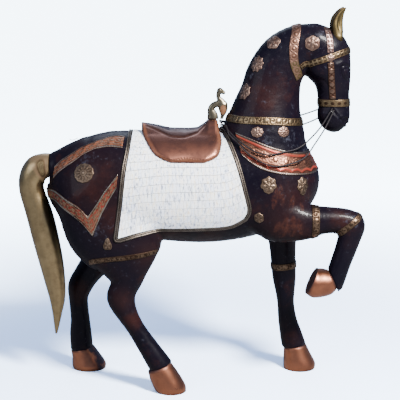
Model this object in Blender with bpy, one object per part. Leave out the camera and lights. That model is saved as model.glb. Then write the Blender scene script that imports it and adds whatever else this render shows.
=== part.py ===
"""Painted wooden horse, about 0.9 m tall, with sheet-metal tack nailed over the carving.

Run it with: blender --background --python part.py
Metres, +Z up. The horse faces +X and its right side faces -Y.
"""

import bmesh
import bpy
import numpy as np
from mathutils import Vector
from mathutils.bvhtree import BVHTree

# Driving sizes, in metres
HEIGHT = 0.900
GAP = 0.0004
STRAP_THICKNESS = 0.0016
COLLAR_THICKNESS = 0.0018
CLOTH_THICKNESS = 0.0030
TRIM_WIDTH = 0.0095
TRIM_THICKNESS = 0.0045
TRIM_GAP = 0.0036
MEDALLION_THICKNESS = 0.0016
MEDALLION_DOME = 0.0030
REIN_DIAMETER = 0.0036
REIN_GAP = 0.0007
CROUP_WIRE_DIAMETER = 0.0012

# How finely the carving is worked out, and how many triangles it keeps
CARVING_STEP = 0.006
BODY_TRIANGLES = 2600
FINIAL_STEP = 0.0018
FINIAL_TRIANGLES = 300

# The drawing below is in millimetres for a horse 900 tall.
PATTERN_HEIGHT = 900.0
SHARE = HEIGHT / PATTERN_HEIGHT

# Each carved mass is a fillet radius, then stations:
# place x, y, z, half its depth in the side view, half its width.
TORSO = (22, [
    (-298, 0, 474, 52, 54),
    (-283, 0, 478, 82, 78),
    (-250, 0, 484, 106, 100),
    (-200, 0, 489, 124, 110),
    (-110, 0, 482, 127, 111),
    (0, 0, 477, 130, 110),
    (80, 0, 480, 125, 106),
    (140, 0, 488, 114, 99),
    (188, 0, 496, 98, 90),
    (219, 0, 503, 56, 62),
])
NECK = (30, [
    (140, 0, 535, 96, 88),
    (147, 0, 590, 100, 80),
    (153, 0, 648, 83, 66),
    (163, 0, 700, 70, 54),
    (172, 0, 742, 65, 48),
    (196, 0, 784, 60, 43),
    (229, 0, 810, 51, 39),
    (262, 0, 819, 42, 36),
])
HEAD = (16, [
    (268, 0, 817, 41, 38),
    (291, 0, 799, 52, 42),
    (301, 0, 762, 48, 40),
    (308, 0, 728, 41, 33),
    (310, 0, 700, 37, 28),
    (312, 0, 672, 37, 27),
    (312, 0, 650, 38, 30),
    (314, 0, 637, 30, 26),
    (320, 0, 629, 13, 17),
])
JOWL = (8, [
    (284, 0, 773, 44, 45),
    (284, 0, 767, 44, 45),
])
FAR_FORELEG = (18, [
    (190, 50, 440, 58, 42),
    (197, 56, 380, 46, 36),
    (201, 60, 341, 35, 31),
    (204, 64, 295, 31, 27),
    (208, 68, 240, 29, 26),
    (211, 70, 203, 24, 23),
    (213, 72, 172, 21, 21),
    (218, 74, 130, 23, 22),
    (229, 77, 84, 28, 26),
    (238, 78, 52, 30, 28),
])
NEAR_FORELEG = (18, [
    (158, -54, 520, 66, 42),
    (164, -60, 470, 74, 46),
    (178, -64, 430, 68, 44),
    (208, -68, 416, 54, 40),
    (245, -70, 411, 42, 36),
    (280, -72, 415, 33, 31),
    (318, -72, 415, 30, 28),
    (344, -72, 411, 29, 27),
    (354, -72, 402, 29, 27),
    (348, -72, 376, 27, 25),
    (339, -72, 345, 25, 24),
    (329, -72, 315, 24, 24),
    (318, -72, 280, 24, 24),
    (308, -72, 250, 24, 24),
])
NEAR_HINDLEG = (18, [
    (-258, -46, 462, 82, 58),
    (-221, -54, 407, 102, 57),
    (-187, -58, 364, 98, 53),
    (-179, -61, 338, 86, 47),
    (-174, -64, 308, 62, 39),
    (-171, -66, 277, 40, 32),
    (-179, -68, 252, 33, 28),
    (-186, -70, 226, 33, 27),
    (-172, -73, 190, 25, 24),
    (-152, -75, 155, 21, 21),
    (-129, -77, 118, 23, 22),
    (-107, -79, 84, 26, 25),
    (-92, -79, 60, 28, 27),
])
FAR_HINDLEG = (18, [
    (-256, 46, 462, 80, 58),
    (-216, 54, 405, 92, 57),
    (-208, 59, 350, 62, 46),
    (-243, 64, 295, 41, 36),
    (-278, 68, 248, 32, 29),
    (-297, 70, 216, 30, 27),
    (-302, 73, 187, 24, 24),
    (-301, 75, 156, 23, 22),
    (-299, 77, 122, 24, 23),
    (-299, 79, 90, 27, 26),
    (-297, 79, 52, 28, 28),
])
DOCK = (20, [
    (-270, 0, 566, 26, 26),
    (-301, 0, 556, 26, 27),
    (-339, 0, 537, 27, 27),
    (-356, 0, 531, 28, 27),
    (-362, 0, 529, 28, 27),
])
BODY_MASSES = [TORSO, NEAR_HINDLEG, FAR_HINDLEG, FAR_FORELEG, NEAR_FORELEG, NECK, HEAD, JOWL, DOCK]

# Flat ends of the carving: place x, y, z, the way outward in x and z, and the cut's reach round it
NEAR_HIND_END = (-97, -79, 60, 0.39, -0.92, 45)
FAR_HIND_END = (-296, 79, 52, 0.20, -0.98, 45)
FAR_FORE_END = (238, 78, 59, 0.144, -0.99, 45)
RAISED_FORE_END = (311, -72, 273, -0.91, -0.41, 58)
RAISED_FORE_TIP = (329, -72, 250, 0.30, -0.95, 45)
DOCK_END = (-353, 0, 531, -1.0, 0.0, 40)
FLAT_ENDS = [NEAR_HIND_END, FAR_HIND_END, FAR_FORE_END, RAISED_FORE_END, RAISED_FORE_TIP, DOCK_END]

# A turned form is stations: place x, y, z, half its length in the side view, half its width,
# and the slope of its section in degrees.
HOOVES = {
    "hoof_near_hind": (NEAR_HIND_END, [
        (-97, -79, 60, 29, 27, 23),
        (-86, -79, 38, 34, 31, 15),
        (-73, -79, 12, 38, 35, 4),
        (-69, -79, 0, 36, 34, 0),
    ]),
    "hoof_far_hind": (FAR_HIND_END, [
        (-296, 79, 52, 29, 27, 11),
        (-288, 79, 34, 34, 31, 8),
        (-280, 79, 11, 42, 37, 2),
        (-279, 79, 0, 41, 36, 0),
    ]),
    "hoof_far_fore": (FAR_FORE_END, [
        (238, 78, 59, 28, 27, 8),
        (243, 78, 38, 33, 32, 6),
        (250, 78, 12, 40, 37, 2),
        (250, 78, 0, 39, 36, 0),
    ]),
    "hoof_raised_fore": (RAISED_FORE_END, [
        (310, -72, 272.5, 25, 26, -66),
        (297, -72, 267, 32, 31, -76),
        (272, -72, 264, 35, 34, -100),
        (261, -72, 270, 33, 33, -115),
    ]),
}
TAIL = [
    (-354.5, 0, 532, 28, 26, -90),
    (-368, 0, 529, 31, 27, -82),
    (-386, 0, 519, 34, 28, -58),
    (-398, 0, 497, 31, 27, -25),
    (-398, 0, 470, 30, 26, 0),
    (-388, 0, 435, 31, 27, 14),
    (-378.5, 0, 399, 32, 28, 14),
    (-368, 0, 350, 31.5, 27, 13),
    (-357, 0, 296, 29, 25, 12),
    (-349, 0, 245, 24.5, 21, 8),
    (-345, 0, 205, 19, 17, 2),
    (-346, 0, 170, 12, 11, -2),
    (-348, 0, 140, 7, 6.5, -3),
    (-350, 0, 116, 2.5, 2.5, -3),
]
EAR_SIDE = 21
EAR = [
    (314, 0, 822, 12, 8, 0),
    (314.5, 0, 844, 13, 9.5, 0),
    (313.5, 0, 859, 13.5, 10, 0),
    (315, 0, 872, 12, 8, -10),
    (320, 0, 884, 8.5, 6, -22),
    (326, 0, 893, 5, 4, -32),
    (332, 0, 899, 1.5, 1.5, -40),
]
EAR_FOOT_GAP = 0.0030
EAR_FOOT_RISE = 0.0040
EAR_GROOVE = [0.0, 0.25, 0.5, 0.55, 0.5, 0.3, 0.0]
EAR_GROOVE_FACES = -60

# Saddlecloth: its edges on the right side, from the spine down and along
CLOTH_REAR = [(-188, -111, 381), (-178, -112, 450), (-168, -101, 535), (-160, -72, 582), (-156, 0, 613)]
CLOTH_FRONT = [
    (100, -95, 424), (108, -100, 446), (98, -104, 488), (80, -88, 552), (57, -45, 605),
    (44, 0, 612),
]
CLOTH_BOTTOM = [
    (-188, -111, 381), (-138, -101, 393), (-81, -87, 400), (0, -90, 402), (66, -90, 406),
    (100, -95, 424),
]
CLOTH_TOP = [(-156, 0, 613), (-90, 0, 605), (0, 0, 604), (44, 0, 612)]
CLOTH_COLUMNS = 9
CLOTH_ROWS = 8

# Saddle: where its rear and front edges stand at each height of its side, and its top along the spine
SADDLE_EDGES = [
    (-66, 10, -91, 552),
    (-86, 29, -87, 559),
    (-105, 43, -80, 571),
    (-121, 49, -60, 591),
    (-132, 50, -32, 606),
    (-137, 48, 0, 611),
]
SADDLE_TOP = [
    (-140, 634), (-99, 627), (-69, 619), (-36, 616.5), (-6, 621), (12, 633), (19, 641), (36, 641),
    (50, 629),
]
SADDLE_COLUMNS = 8
SADDLE_RIM = 7
SADDLE_SIDE = 11
SADDLE_SHOULDER = 42

# Finial on the pommel: a bird's head on a curled neck
FINIAL_SCROLL = (3, [
    (58, 0, 675, 7.5, 6),
    (46, 0, 677, 7.5, 6),
    (37, 0, 676, 7.5, 6),
    (29, 0, 671, 7.5, 6),
    (25.5, 0, 663, 8, 6),
    (28, 0, 655, 11, 6.5),
    (30, 0, 646, 13, 7),
    (30, 0, 634, 13.5, 7.5),
])
FINIAL_NECK = (3, [
    (46, 0, 708, 6.5, 6),
    (42.5, 0, 698, 5, 5),
    (44, 0, 690, 5.5, 5),
    (50, 0, 682, 8, 6),
    (53, 0, 673, 10.5, 7),
    (54, 0, 664, 10.5, 7.5),
    (53.5, 0, 656, 7, 6.5),
    (52.5, 0, 650, 4.5, 5),
    (51, 0, 644, 4, 5),
    (50, 0, 634, 4.5, 6),
])
FINIAL_BEAK = (3, [
    (46, 0, 708, 6, 5),
    (55.5, 0, 703, 4.5, 4),
])
FINIAL_SEAT = (36, 0, 641.5, 0.0, -1.0, 40)

# A strap is a route of places on the carving's right side; its left is the mirror.
CROWN_ROUTE = [
    (231, -29, 738), (217, -42, 770), (213, -42, 797), (214, -40, 822), (219, -26, 845),
    (222, 0, 858),
]
CROWN_WIDTH = 21
BROW_ROUTE = [
    (232, -33, 764), (257, -38, 775), (276, -42, 781), (296, -42, 788), (320, -37, 796),
    (337, -22, 801), (345, 0, 803),
]
BROW_WIDTH = 15
UPPER_CHEEK_ROUTE = [
    (288, -13, 850), (291, -24, 843), (294, -33, 829), (296, -41, 810), (297, -43, 799),
]
LOWER_CHEEK_ROUTE = [(297, -43, 776), (299, -42, 760), (301, -37, 738), (304, -29, 712), (306, -26, 692)]
CHEEK_WIDTH = 15
NOSEBAND_ROUTE = [(275, 0, 681), (281, -14, 681), (296, -27, 681), (312, -27, 681), (330, -24, 681),
                  (344, -13, 681), (349, 0, 681)]
NOSEBAND_WIDTH = 17
NECK_BAND_ROUTE = [
    (64, 0, 647), (71, -25, 646), (92, -50, 646), (125, -64, 646), (165, -66, 645), (205, -52, 641),
    (230, -26, 638), (237, 0, 637),
]
NECK_BAND_WIDTH = 18
COLLAR_UPPER = [
    (82, -52, 618), (115, -74, 607), (158, -81, 590), (188, -77, 581), (219, -63, 574),
    (243, -38, 571), (254, 0, 571),
]
COLLAR_LOWER = [
    (95, -85, 570), (118, -93, 551), (146, -99, 537), (182, -98, 528), (219, -84, 523),
    (256, -56, 521), (276, 0, 523),
]
CRUPPER_UPPER = [(-174, -38, 606), (-193, -34, 607), (-219, -41, 602), (-246, -45, 593), (-271, -44, 582),
                 (-294, -44, 567), (-318, -38, 551), (-336, -33, 533)]
CRUPPER_LOWER = [(-178, -72, 584), (-209, -68, 586), (-241, -66, 580), (-269, -67, 567), (-288, -68, 552),
                 (-310, -63, 537), (-326, -56, 523), (-337, -47, 508)]
VEE_REAR_UPPER = [(-351, 0, 479), (-347, -30, 482), (-336, -60, 483), (-307, -90, 469), (-278, -103, 453),
                  (-257, -107, 432)]
VEE_REAR_LOWER = [(-349, 0, 458), (-345, -30, 460), (-332, -65, 457), (-304, -92, 438), (-272, -104, 415),
                  (-246, -109, 385)]
VEE_FORE_UPPER = [
    (-257, -107, 432), (-237, -109, 460), (-220, -109, 487), (-203, -109, 509), (-186, -103, 530),
]
VEE_FORE_LOWER = [
    (-246, -109, 385), (-228, -110, 428), (-212, -110, 459), (-200, -110, 480), (-190, -109, 496),
]

# Bands round the legs: the middle's place, the way along the leg in x and z, the leg's half depth
# and half width, the band's width, and where it starts and ends in degrees from straight outward
LEG_BANDS = {
    "band_raised_fore": ((266, -71, 413), (1.0, 0.0), 37, 33, 18, 0, 360),
    "band_raised_knee": ((343, -72, 406), (0.64, -0.77), 36, 28, 15, 0, 360),
    "band_standing_fore": ((205, 66, 271), (0.1, -1.0), 31, 27, 17, 0, 360),
    "band_near_hind": ((-170, -64, 334), (0.1, -1.0), 78, 45, 13, -70, 84),
}

# Medallions on the right side: place, half width, half height, lobes, their depth, and whether the
# left has it too
ROUND = "round"
HEART = "heart"
MEDALLIONS = {
    "medallion_crest": ((167, -26, 821), 18, 18, ROUND, 5, 0.06, True),
    "medallion_mane": ((130, -29, 772), 18, 20, ROUND, 9, 0.10, True),
    "medallion_neck": ((103, -29, 708), 17, 20, ROUND, 7, 0.08, True),
    "medallion_cheek": ((255, -40, 820), 18, 19, ROUND, 6, 0.05, True),
    "medallion_throat_rear": ((130, -74, 621), 15, 13, ROUND, 8, 0.05, True),
    "medallion_throat_front": ((191, -67, 621), 15, 13, ROUND, 8, 0.05, True),
    "heart_shoulder": ((156, -103, 503), 21, 21, HEART, 0, 0, True),
    "heart_chest": ((236, -78, 496), 19, 23, HEART, 0, 0, True),
    "medallion_elbow": ((135, -101, 427), 12, 13, ROUND, 6, 0.05, False),
    "medallion_rump": ((-265, -92, 530), 25, 24, ROUND, 12, 0.03, True),
    "medallion_thigh": ((-212, -110, 366), 11, 16, ROUND, 3, 0.15, False),
    "medallion_crossing": ((297, -43, 787), 11, 11, ROUND, 4, 0.12, True),
}
BRASS_MEDALLIONS = ("heart_shoulder", "heart_chest", "medallion_rump", "medallion_thigh", "medallion_elbow")

# Reins: each hangs free from the bit to the shoulder, then lies over the tack to the pommel.
REINS = {
    "rein_right_upper": ([(305, -31, 670), (278, -42, 628), (242, -62, 594), (220, -74, 582)],
                         [(199, -80, 578), (173, -86, 572), (151, -90, 570), (126, -88, 578), (100, -72, 592),
                          (76, -52, 612)]),
    "rein_right_lower": ([(309, -31, 666), (288, -44, 626), (256, -66, 582), (240, -82, 564)],
                         [(220, -90, 556), (190, -98, 548), (160, -99, 547), (130, -94, 560), (104, -80, 578),
                          (80, -56, 604)]),
    "rein_left_upper": ([(305, 31, 670), (276, 42, 657), (240, 60, 642)],
                        [(205, 68, 634), (165, 76, 628), (120, 74, 624), (88, 54, 624), (72, 38, 628)]),
    "rein_left_lower": ([(309, 31, 666), (281, 44, 638), (244, 66, 618)],
                        [(205, 78, 604), (165, 86, 596), (125, 82, 600), (98, 66, 608), (80, 48, 614)]),
}
REIN_POINTS = 17
REIN_ROUNDS = 40
REIN_ENDS = {"upper": (46, 9, 637), "lower": (50, 17, 631)}
CROUP_WIRE = [(-286, -2, 597), (-293, -3, 594), (-300, -4, 592), (-306, -4, 595)]

# Finishes: colour, roughness and metalness
LACQUER = ("black_brown_lacquer", (0.030, 0.020, 0.019), 0.35, 0.0)
BRASS = ("aged_brass", (0.33, 0.26, 0.15), 0.40, 1.0)
PALE_BRASS = ("tail_brass", (0.42, 0.34, 0.18), 0.38, 1.0)
COPPER = ("brown_copper", (0.36, 0.16, 0.11), 0.40, 1.0)
PINK_COPPER = ("pink_copper", (0.47, 0.30, 0.23), 0.42, 1.0)
RED_COPPER = ("red_enamelled_copper", (0.45, 0.14, 0.08), 0.45, 0.6)
PEWTER = ("grey_brown_trim", (0.28, 0.24, 0.19), 0.45, 1.0)
PEARL = ("mother_of_pearl", (0.72, 0.71, 0.67), 0.30, 0.0)
WIRE = ("dark_wire", (0.12, 0.12, 0.12), 0.50, 1.0)


def smooth_stations(stations, steps=4):
    """Stations read from a smooth curve through the given ones."""
    rows = np.array(stations, float)
    rows = np.vstack([2 * rows[0] - rows[1], rows, 2 * rows[-1] - rows[-2]])
    t = np.linspace(0, 1, steps, endpoint=False)[:, None]
    pieces = []
    for a, b, c, d in zip(rows, rows[1:], rows[2:], rows[3:]):
        bend = (2 * a - 5 * b + 4 * c - d) * t**2
        swing = (3 * b - a - 3 * c + d) * t**3
        pieces.append(0.5 * (2 * b + (c - a) * t + bend + swing))
    return np.vstack(pieces + [rows[-2:-1]])


def segment_distance(axes, start, end):
    """About how far each grid point lies outside the elliptical mass between two stations."""
    x, y, z = [a - c for a, c in zip(axes, start)]
    along = end[:3] - start[:3]
    length = np.linalg.norm(along)
    along = along / length
    normal = np.array([along[2], 0.0, -along[0]]) / np.hypot(along[0], along[2])
    across = np.cross(along, normal)
    travel = x * along[0] + y * along[1] + z * along[2]
    share = np.clip(travel / length, 0, 1)
    depth = start[3] + (end[3] - start[3]) * share
    width = start[4] + (end[4] - start[4]) * share
    cap = np.minimum(depth, width)
    u = (x * normal[0] + z * normal[2]) / depth
    v = (x * across[0] + y * across[1] + z * across[2]) / width
    w = (travel - share * length) / cap
    ring = np.sqrt(u * u + v * v + w * w)
    slope = np.sqrt((u / depth) ** 2 + (v / width) ** 2 + (w / cap) ** 2)
    return np.where(ring > 1e-6, ring * (ring - 1) / np.maximum(slope, 1e-9), -cap)


def blended(a, b, radius):
    """The union of two distances, with a fillet of about that radius between them."""
    h = np.maximum(radius - np.abs(a - b), 0) / radius
    return np.minimum(a, b) - h * h * radius * 0.25


def window(grid_low, count, step, low, high):
    """The grid's slices and coordinates inside a box."""
    first = np.maximum(np.floor((low - grid_low) / step).astype(int), 0)
    last = np.minimum(np.ceil((high - grid_low) / step).astype(int) + 1, count)
    lines = [grid_low[i] + step * np.arange(first[i], last[i]) for i in range(3)]
    axes = np.meshgrid(*lines, indexing="ij", sparse=True)
    return tuple(slice(f, l) for f, l in zip(first, last)), axes


def carve(masses, step):
    """The blended distance of all masses on a grid, and the grid's lowest corner."""
    masses = [(fillet * SHARE, smooth_stations(rows) * SHARE) for fillet, rows in masses]
    most = max(fillet for fillet, _ in masses)
    margin = most + 2 * step
    rows = np.vstack([r for _, r in masses])
    reach = rows[:, 3:].max(1)[:, None] + margin
    low = (rows[:, :3] - reach).min(0)
    count = np.ceil(((rows[:, :3] + reach).max(0) - low) / step).astype(int) + 1
    far = 2 * most
    field = np.full(count, far)
    for fillet, stations in masses:
        mass = np.full(count, far)
        for start, end in zip(stations, stations[1:]):
            near = max(start[3:].max(), end[3:].max()) + margin
            box_low = np.minimum(start[:3], end[:3]) - near
            box_high = np.maximum(start[:3], end[:3]) + near
            place, axes = window(low, count, step, box_low, box_high)
            mass[place] = np.minimum(mass[place], segment_distance(axes, start, end))
        field = blended(field, mass, fillet)
    return field, low


def untangled(field):
    """The field with no grid face whose corners are in and out by turns, which would pinch the skin."""
    field = field.copy()
    for _ in range(3):
        for axis in range(3):
            f = np.moveaxis(field, axis, 0)
            rows, columns = f.shape[1] - 1, f.shape[2] - 1
            a, b, c, d = [f[:, i:rows + i, j:columns + j] < 0 for i in (0, 1) for j in (0, 1)]
            for i, j, k in np.argwhere((a == d) & (b == c) & (a != b)):
                corners = [(i, j, k), (i, j + 1, k), (i, j, k + 1), (i, j + 1, k + 1)]
                least = min(corners, key=lambda place: abs(f[place]))
                f[least] = 1e-9 if f[least] < 0 else -1e-9
    return field


def skin(field, low, step):
    """A closed quad mesh over the field's zero surface: one vertex in each cell that the surface crosses."""
    field = untangled(field)
    inside = field < 0
    total = np.zeros([n - 1 for n in field.shape] + [3])
    hits = np.zeros([n - 1 for n in field.shape])
    crossed = []
    for axis in range(3):
        near = [slice(None)] * 3
        far = [slice(None)] * 3
        near[axis], far[axis] = slice(None, -1), slice(1, None)
        a, b = field[tuple(near)], field[tuple(far)]
        cut = inside[tuple(near)] != inside[tuple(far)]
        share = np.where(cut, a / np.where(cut, a - b, 1), 0)
        counts = [np.arange(float(n)) for n in cut.shape]
        grid = np.stack(np.meshgrid(*counts, indexing="ij"), axis=-1)
        grid[..., axis] += share
        crossed.append(cut)
        others = [i for i in range(3) if i != axis]
        for di in (0, 1):
            for dj in (0, 1):
                source = [slice(None)] * 3
                target = [slice(None)] * 3
                for other, d in zip(others, (di, dj)):
                    n = cut.shape[other]
                    source[other] = slice(d, n - 1 + d)
                    target[other] = slice(0, n - 1)
                part = cut[tuple(source)]
                total[tuple(target)] += grid[tuple(source)] * part[..., None]
                hits[tuple(target)] += part
    used = hits > 0
    index = np.full(used.shape, -1)
    index[used] = np.arange(used.sum())
    verts = total[used] / hits[used][:, None] * step + low
    quads = []
    for axis in range(3):
        i, j, k = np.nonzero(crossed[axis])
        others = [(axis + 1) % 3, (axis + 2) % 3]
        cell = np.stack([i, j, k], axis=-1)
        corners = []
        for di, dj in ((0, 0), (1, 0), (1, 1), (0, 1)):
            c = cell.copy()
            c[:, others[0]] -= di
            c[:, others[1]] -= dj
            corners.append(index[c[:, 0], c[:, 1], c[:, 2]])
        quad = np.stack(corners, axis=-1)
        outward = inside[i, j, k]
        quad[~outward] = quad[~outward][:, ::-1]
        quads.append(quad)
    return verts, np.vstack(quads)


def sample(field, low, step, points):
    """The field and its gradient at any points, read linearly between the grid's."""
    place = (points - low) / step
    base = np.clip(np.floor(place).astype(int), 0, np.array(field.shape) - 2)
    x, y, z = (place - base).T
    corner = {}
    for i in (0, 1):
        for j in (0, 1):
            for k in (0, 1):
                corner[i, j, k] = field[base[:, 0] + i, base[:, 1] + j, base[:, 2] + k]
    rise = {(j, k): corner[1, j, k] - corner[0, j, k] for j in (0, 1) for k in (0, 1)}
    edge = {(j, k): corner[0, j, k] + rise[j, k] * x for j, k in rise}
    low_side = edge[0, 0] + (edge[1, 0] - edge[0, 0]) * y
    high_side = edge[0, 1] + (edge[1, 1] - edge[0, 1]) * y
    value = low_side + (high_side - low_side) * z
    slope_z = high_side - low_side
    slope_y = (edge[1, 0] - edge[0, 0]) * (1 - z) + (edge[1, 1] - edge[0, 1]) * z
    low_rise = rise[0, 0] * (1 - y) + rise[1, 0] * y
    high_rise = rise[0, 1] * (1 - y) + rise[1, 1] * y
    slope_x = low_rise * (1 - z) + high_rise * z
    return value, np.stack([slope_x, slope_y, slope_z], axis=-1) / step


def settle(verts, field, low, step, rounds=3):
    """Moves vertices onto the zero surface."""
    for _ in range(rounds):
        value, gradient = sample(field, low, step, verts)
        verts = verts - gradient * (value / np.maximum((gradient**2).sum(1), 1e-6))[:, None]
    return verts


def finish(obj, look, smooth=True):
    """Gives an object its material and its shading."""
    name, colour, roughness, metallic = look
    material = bpy.data.materials.get(name)
    if material is None:
        material = bpy.data.materials.new(name)
        material.use_nodes = True
        shader = material.node_tree.nodes["Principled BSDF"]
        shader.inputs["Base Color"].default_value = (*colour, 1.0)
        shader.inputs["Roughness"].default_value = roughness
        shader.inputs["Metallic"].default_value = metallic
        material.diffuse_color = (*colour, 1.0)
    obj.data.materials.append(material)
    if smooth and obj.type == "MESH":
        obj.data.polygons.foreach_set("use_smooth", [True] * len(obj.data.polygons))
    return obj


def new_object(name, verts, faces, look, smooth=True):
    mesh = bpy.data.meshes.new(name)
    mesh.from_pydata([tuple(map(float, v)) for v in verts], [], [tuple(int(i) for i in f) for f in faces])
    mesh.validate()
    obj = bpy.data.objects.new(name, mesh)
    bpy.context.scene.collection.objects.link(obj)
    return finish(obj, look, smooth)


def carved_object(name, masses, step, triangles, flat_ends, look):
    """A carved solid: blended masses, thinned to so many triangles, with its flat ends cut."""
    field, low = carve(masses, step)
    verts, quads = skin(field, low, step)
    verts = settle(verts, field, low, step)
    obj = new_object(name, verts, quads, look)
    thinning = obj.modifiers.new("thinning", "DECIMATE")
    thinning.ratio = triangles / (2 * len(quads))
    cutters = [end_cutter(*end) for end in flat_ends]
    for cutter in cutters:
        cut = obj.modifiers.new("flat_end", "BOOLEAN")
        cut.operation = "DIFFERENCE"
        cut.solver = "EXACT"
        cut.object = cutter
    thinned = obj.evaluated_get(bpy.context.evaluated_depsgraph_get())
    fine_mesh = obj.data
    obj.data = bpy.data.meshes.new_from_object(thinned)
    obj.modifiers.clear()
    for cutter in cutters:
        bpy.data.objects.remove(cutter)
    bpy.data.meshes.remove(fine_mesh)
    obj.data.name = name
    work = bmesh.new()
    work.from_mesh(obj.data)
    bmesh.ops.dissolve_degenerate(work, dist=1e-5, edges=work.edges)
    bmesh.ops.triangulate(work, faces=work.faces)
    work.to_mesh(obj.data)
    work.free()
    flat_edges(obj)
    return obj


def end_cutter(x, y, z, out_x, out_z, reach):
    """A box that lies just beyond a flat end."""
    outward = np.array([out_x, 0, out_z]) / np.hypot(out_x, out_z)
    upward = np.array([-outward[2], 0, outward[0]])
    verts = []
    for far in (0, 1):
        for i, j in ((-1, -1), (1, -1), (1, 1), (-1, 1)):
            corner = np.array([x, y, z]) + (outward * far + upward * i + np.array([0, j, 0])) * reach
            verts.append(corner * SHARE)
    cutter = new_object("end_cutter", verts, BOX_FACES, LACQUER)
    work = bmesh.new()
    work.from_mesh(cutter.data)
    bmesh.ops.recalc_face_normals(work, faces=work.faces)
    work.to_mesh(cutter.data)
    work.free()
    return cutter


BOX_FACES = [(0, 1, 2, 3), (7, 6, 5, 4), (0, 4, 5, 1), (1, 5, 6, 2), (2, 6, 7, 3), (3, 7, 4, 0)]


def surface_of(objects):
    """One search tree of all the objects' faces."""
    verts = []
    faces = []
    view = bpy.context.evaluated_depsgraph_get()
    for obj in objects:
        start = len(verts)
        mesh = bpy.data.meshes.new_from_object(obj.evaluated_get(view))
        verts += [v.co.copy() for v in mesh.vertices]
        faces += [[start + i for i in p.vertices] for p in mesh.polygons]
        bpy.data.meshes.remove(mesh)
    return BVHTree.FromPolygons(verts, faces)


def nearest(surface, points):
    """The surface's nearest places to the points, and its normals there."""
    found = [surface.find_nearest(Vector(p)) for p in points]
    return np.array([f[0] for f in found]), np.array([f[1] for f in found])


# A point past an edge can face away from one of its faces by a hair, and is still outside.
INSIDE_SHARE = 0.3


def clearance(surface, points):
    """How far each point stands outside the surface, below zero inside."""
    places, normals = nearest(surface, points)
    apart = points - places
    distance = np.linalg.norm(apart, axis=1)
    return np.where((apart * normals).sum(1) < -INSIDE_SHARE * distance, -distance, distance)


def grid_triangles(rows, columns, ring):
    """Two triangles for each cell of a grid of vertices, facing the way rows cross columns."""
    triangles = []
    for i in range(rows if ring else rows - 1):
        for j in range(columns - 1):
            a, b = i * columns + j, i * columns + j + 1
            c, d = (i + 1) % rows * columns + j, (i + 1) % rows * columns + j + 1
            triangles += [(a, c, b), (b, c, d)]
    return triangles


def unit(vectors):
    return vectors / np.maximum(np.linalg.norm(vectors, axis=-1, keepdims=True), 1e-12)


def grid_normals(grid, ring):
    """The normals of a grid of places, rows crossed with columns."""
    if ring:
        along = np.roll(grid, -1, axis=0) - np.roll(grid, 1, axis=0)
    else:
        along = np.gradient(grid, axis=0)
    return unit(np.cross(along, np.gradient(grid, axis=1)))


# Places in each triangle where its clearance is tried
TRIALS = np.array([(i, j, 5 - i - j) for i in range(6) for j in range(6 - i)]) / 5.0


def raise_clear(surface, base, normals, triangles, gap, rounds=10):
    """How far each vertex is raised along its normal so that every triangle clears the surface by the gap."""
    lifts = np.full(len(base), gap)
    triangles = np.array(triangles)
    for _ in range(rounds):
        raised = base + normals * lifts[:, None]
        trials = np.einsum("kc,tcx->tkx", TRIALS, raised[triangles])
        free = clearance(surface, trials.reshape(-1, 3)).reshape(len(triangles), -1).min(1)
        short = np.maximum(gap - free, 0)
        if short.max() < 0.00003:
            break
        wanted = lifts[triangles] + (short * 1.05 + 0.00001 * (short > 0))[:, None]
        np.maximum.at(lifts, triangles, wanted)
    return lifts


def shell(name, surface, grid, thickness, look, ring=False, gap=GAP, tops=None):
    """A closed shell laid on the surface over a grid of places, given in millimetres of the drawing."""
    grid = np.array(grid, float) * SHARE
    rows, columns = grid.shape[:2]
    flat, facing = nearest(surface, grid.reshape(-1, 3))
    base = flat.reshape(grid.shape)
    normals = grid_normals(base, ring).reshape(-1, 3)
    triangles = grid_triangles(rows, columns, ring)
    if (normals * facing).sum() < 0:
        normals = -normals
        triangles = [t[::-1] for t in triangles]
    lifts = raise_clear(surface, flat, normals, triangles, gap)
    under = flat + normals * lifts[:, None]
    over = under + normals * np.broadcast_to(thickness, (rows, columns)).reshape(-1, 1)
    if tops is not None:
        over = tops(under.reshape(grid.shape), over.reshape(grid.shape)).reshape(-1, 3)
    return closed_shell(name, under, over, triangles, look)


def closed_shell(name, under, over, triangles, look):
    """Joins an underside and a top with the same triangles into one closed solid."""
    count = len(under)
    sides = {}
    for t in triangles:
        for a, b in zip(t, (*t[1:], t[0])):
            sides[a, b] = sides.get((a, b), 0) + 1
    edge = [(a, b) for a, b in sides if (b, a) not in sides]
    faces = [tuple(i + count for i in t) for t in triangles]
    faces += [t[::-1] for t in triangles]
    for a, b in edge:
        faces += [(a, b, b + count), (a, b + count, a + count)]
    obj = new_object(name, np.vstack([under, over]), faces, look)
    flat_edges(obj)
    return obj


def flat_edges(obj):
    """Keeps a solid's corners sharp under smooth shading."""
    work = bmesh.new()
    work.from_mesh(obj.data)
    for e in work.edges:
        e.smooth = e.is_manifold and e.calc_face_angle(0) < 0.7
    work.to_mesh(obj.data)
    work.free()


def mirrored(route):
    return [(x, -y, z) for x, y, z in route]


def whole(route):
    """A right side's route from its first point over the middle, where it ends, to the left's."""
    return list(route) + mirrored(route[:-1])[::-1]


def ring_of(route):
    """A closed route from a right side that starts and ends in the middle."""
    return list(route) + mirrored(route[1:-1])[::-1]


def smooth_route(route, steps, ring=False):
    """Places along a smooth curve through a route's points."""
    if not ring:
        return smooth_stations(route, steps)
    wrapped = list(route[-2:]) + list(route) + list(route[:2])
    return smooth_stations(wrapped, steps)[2 * steps:][:len(route) * steps]


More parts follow.
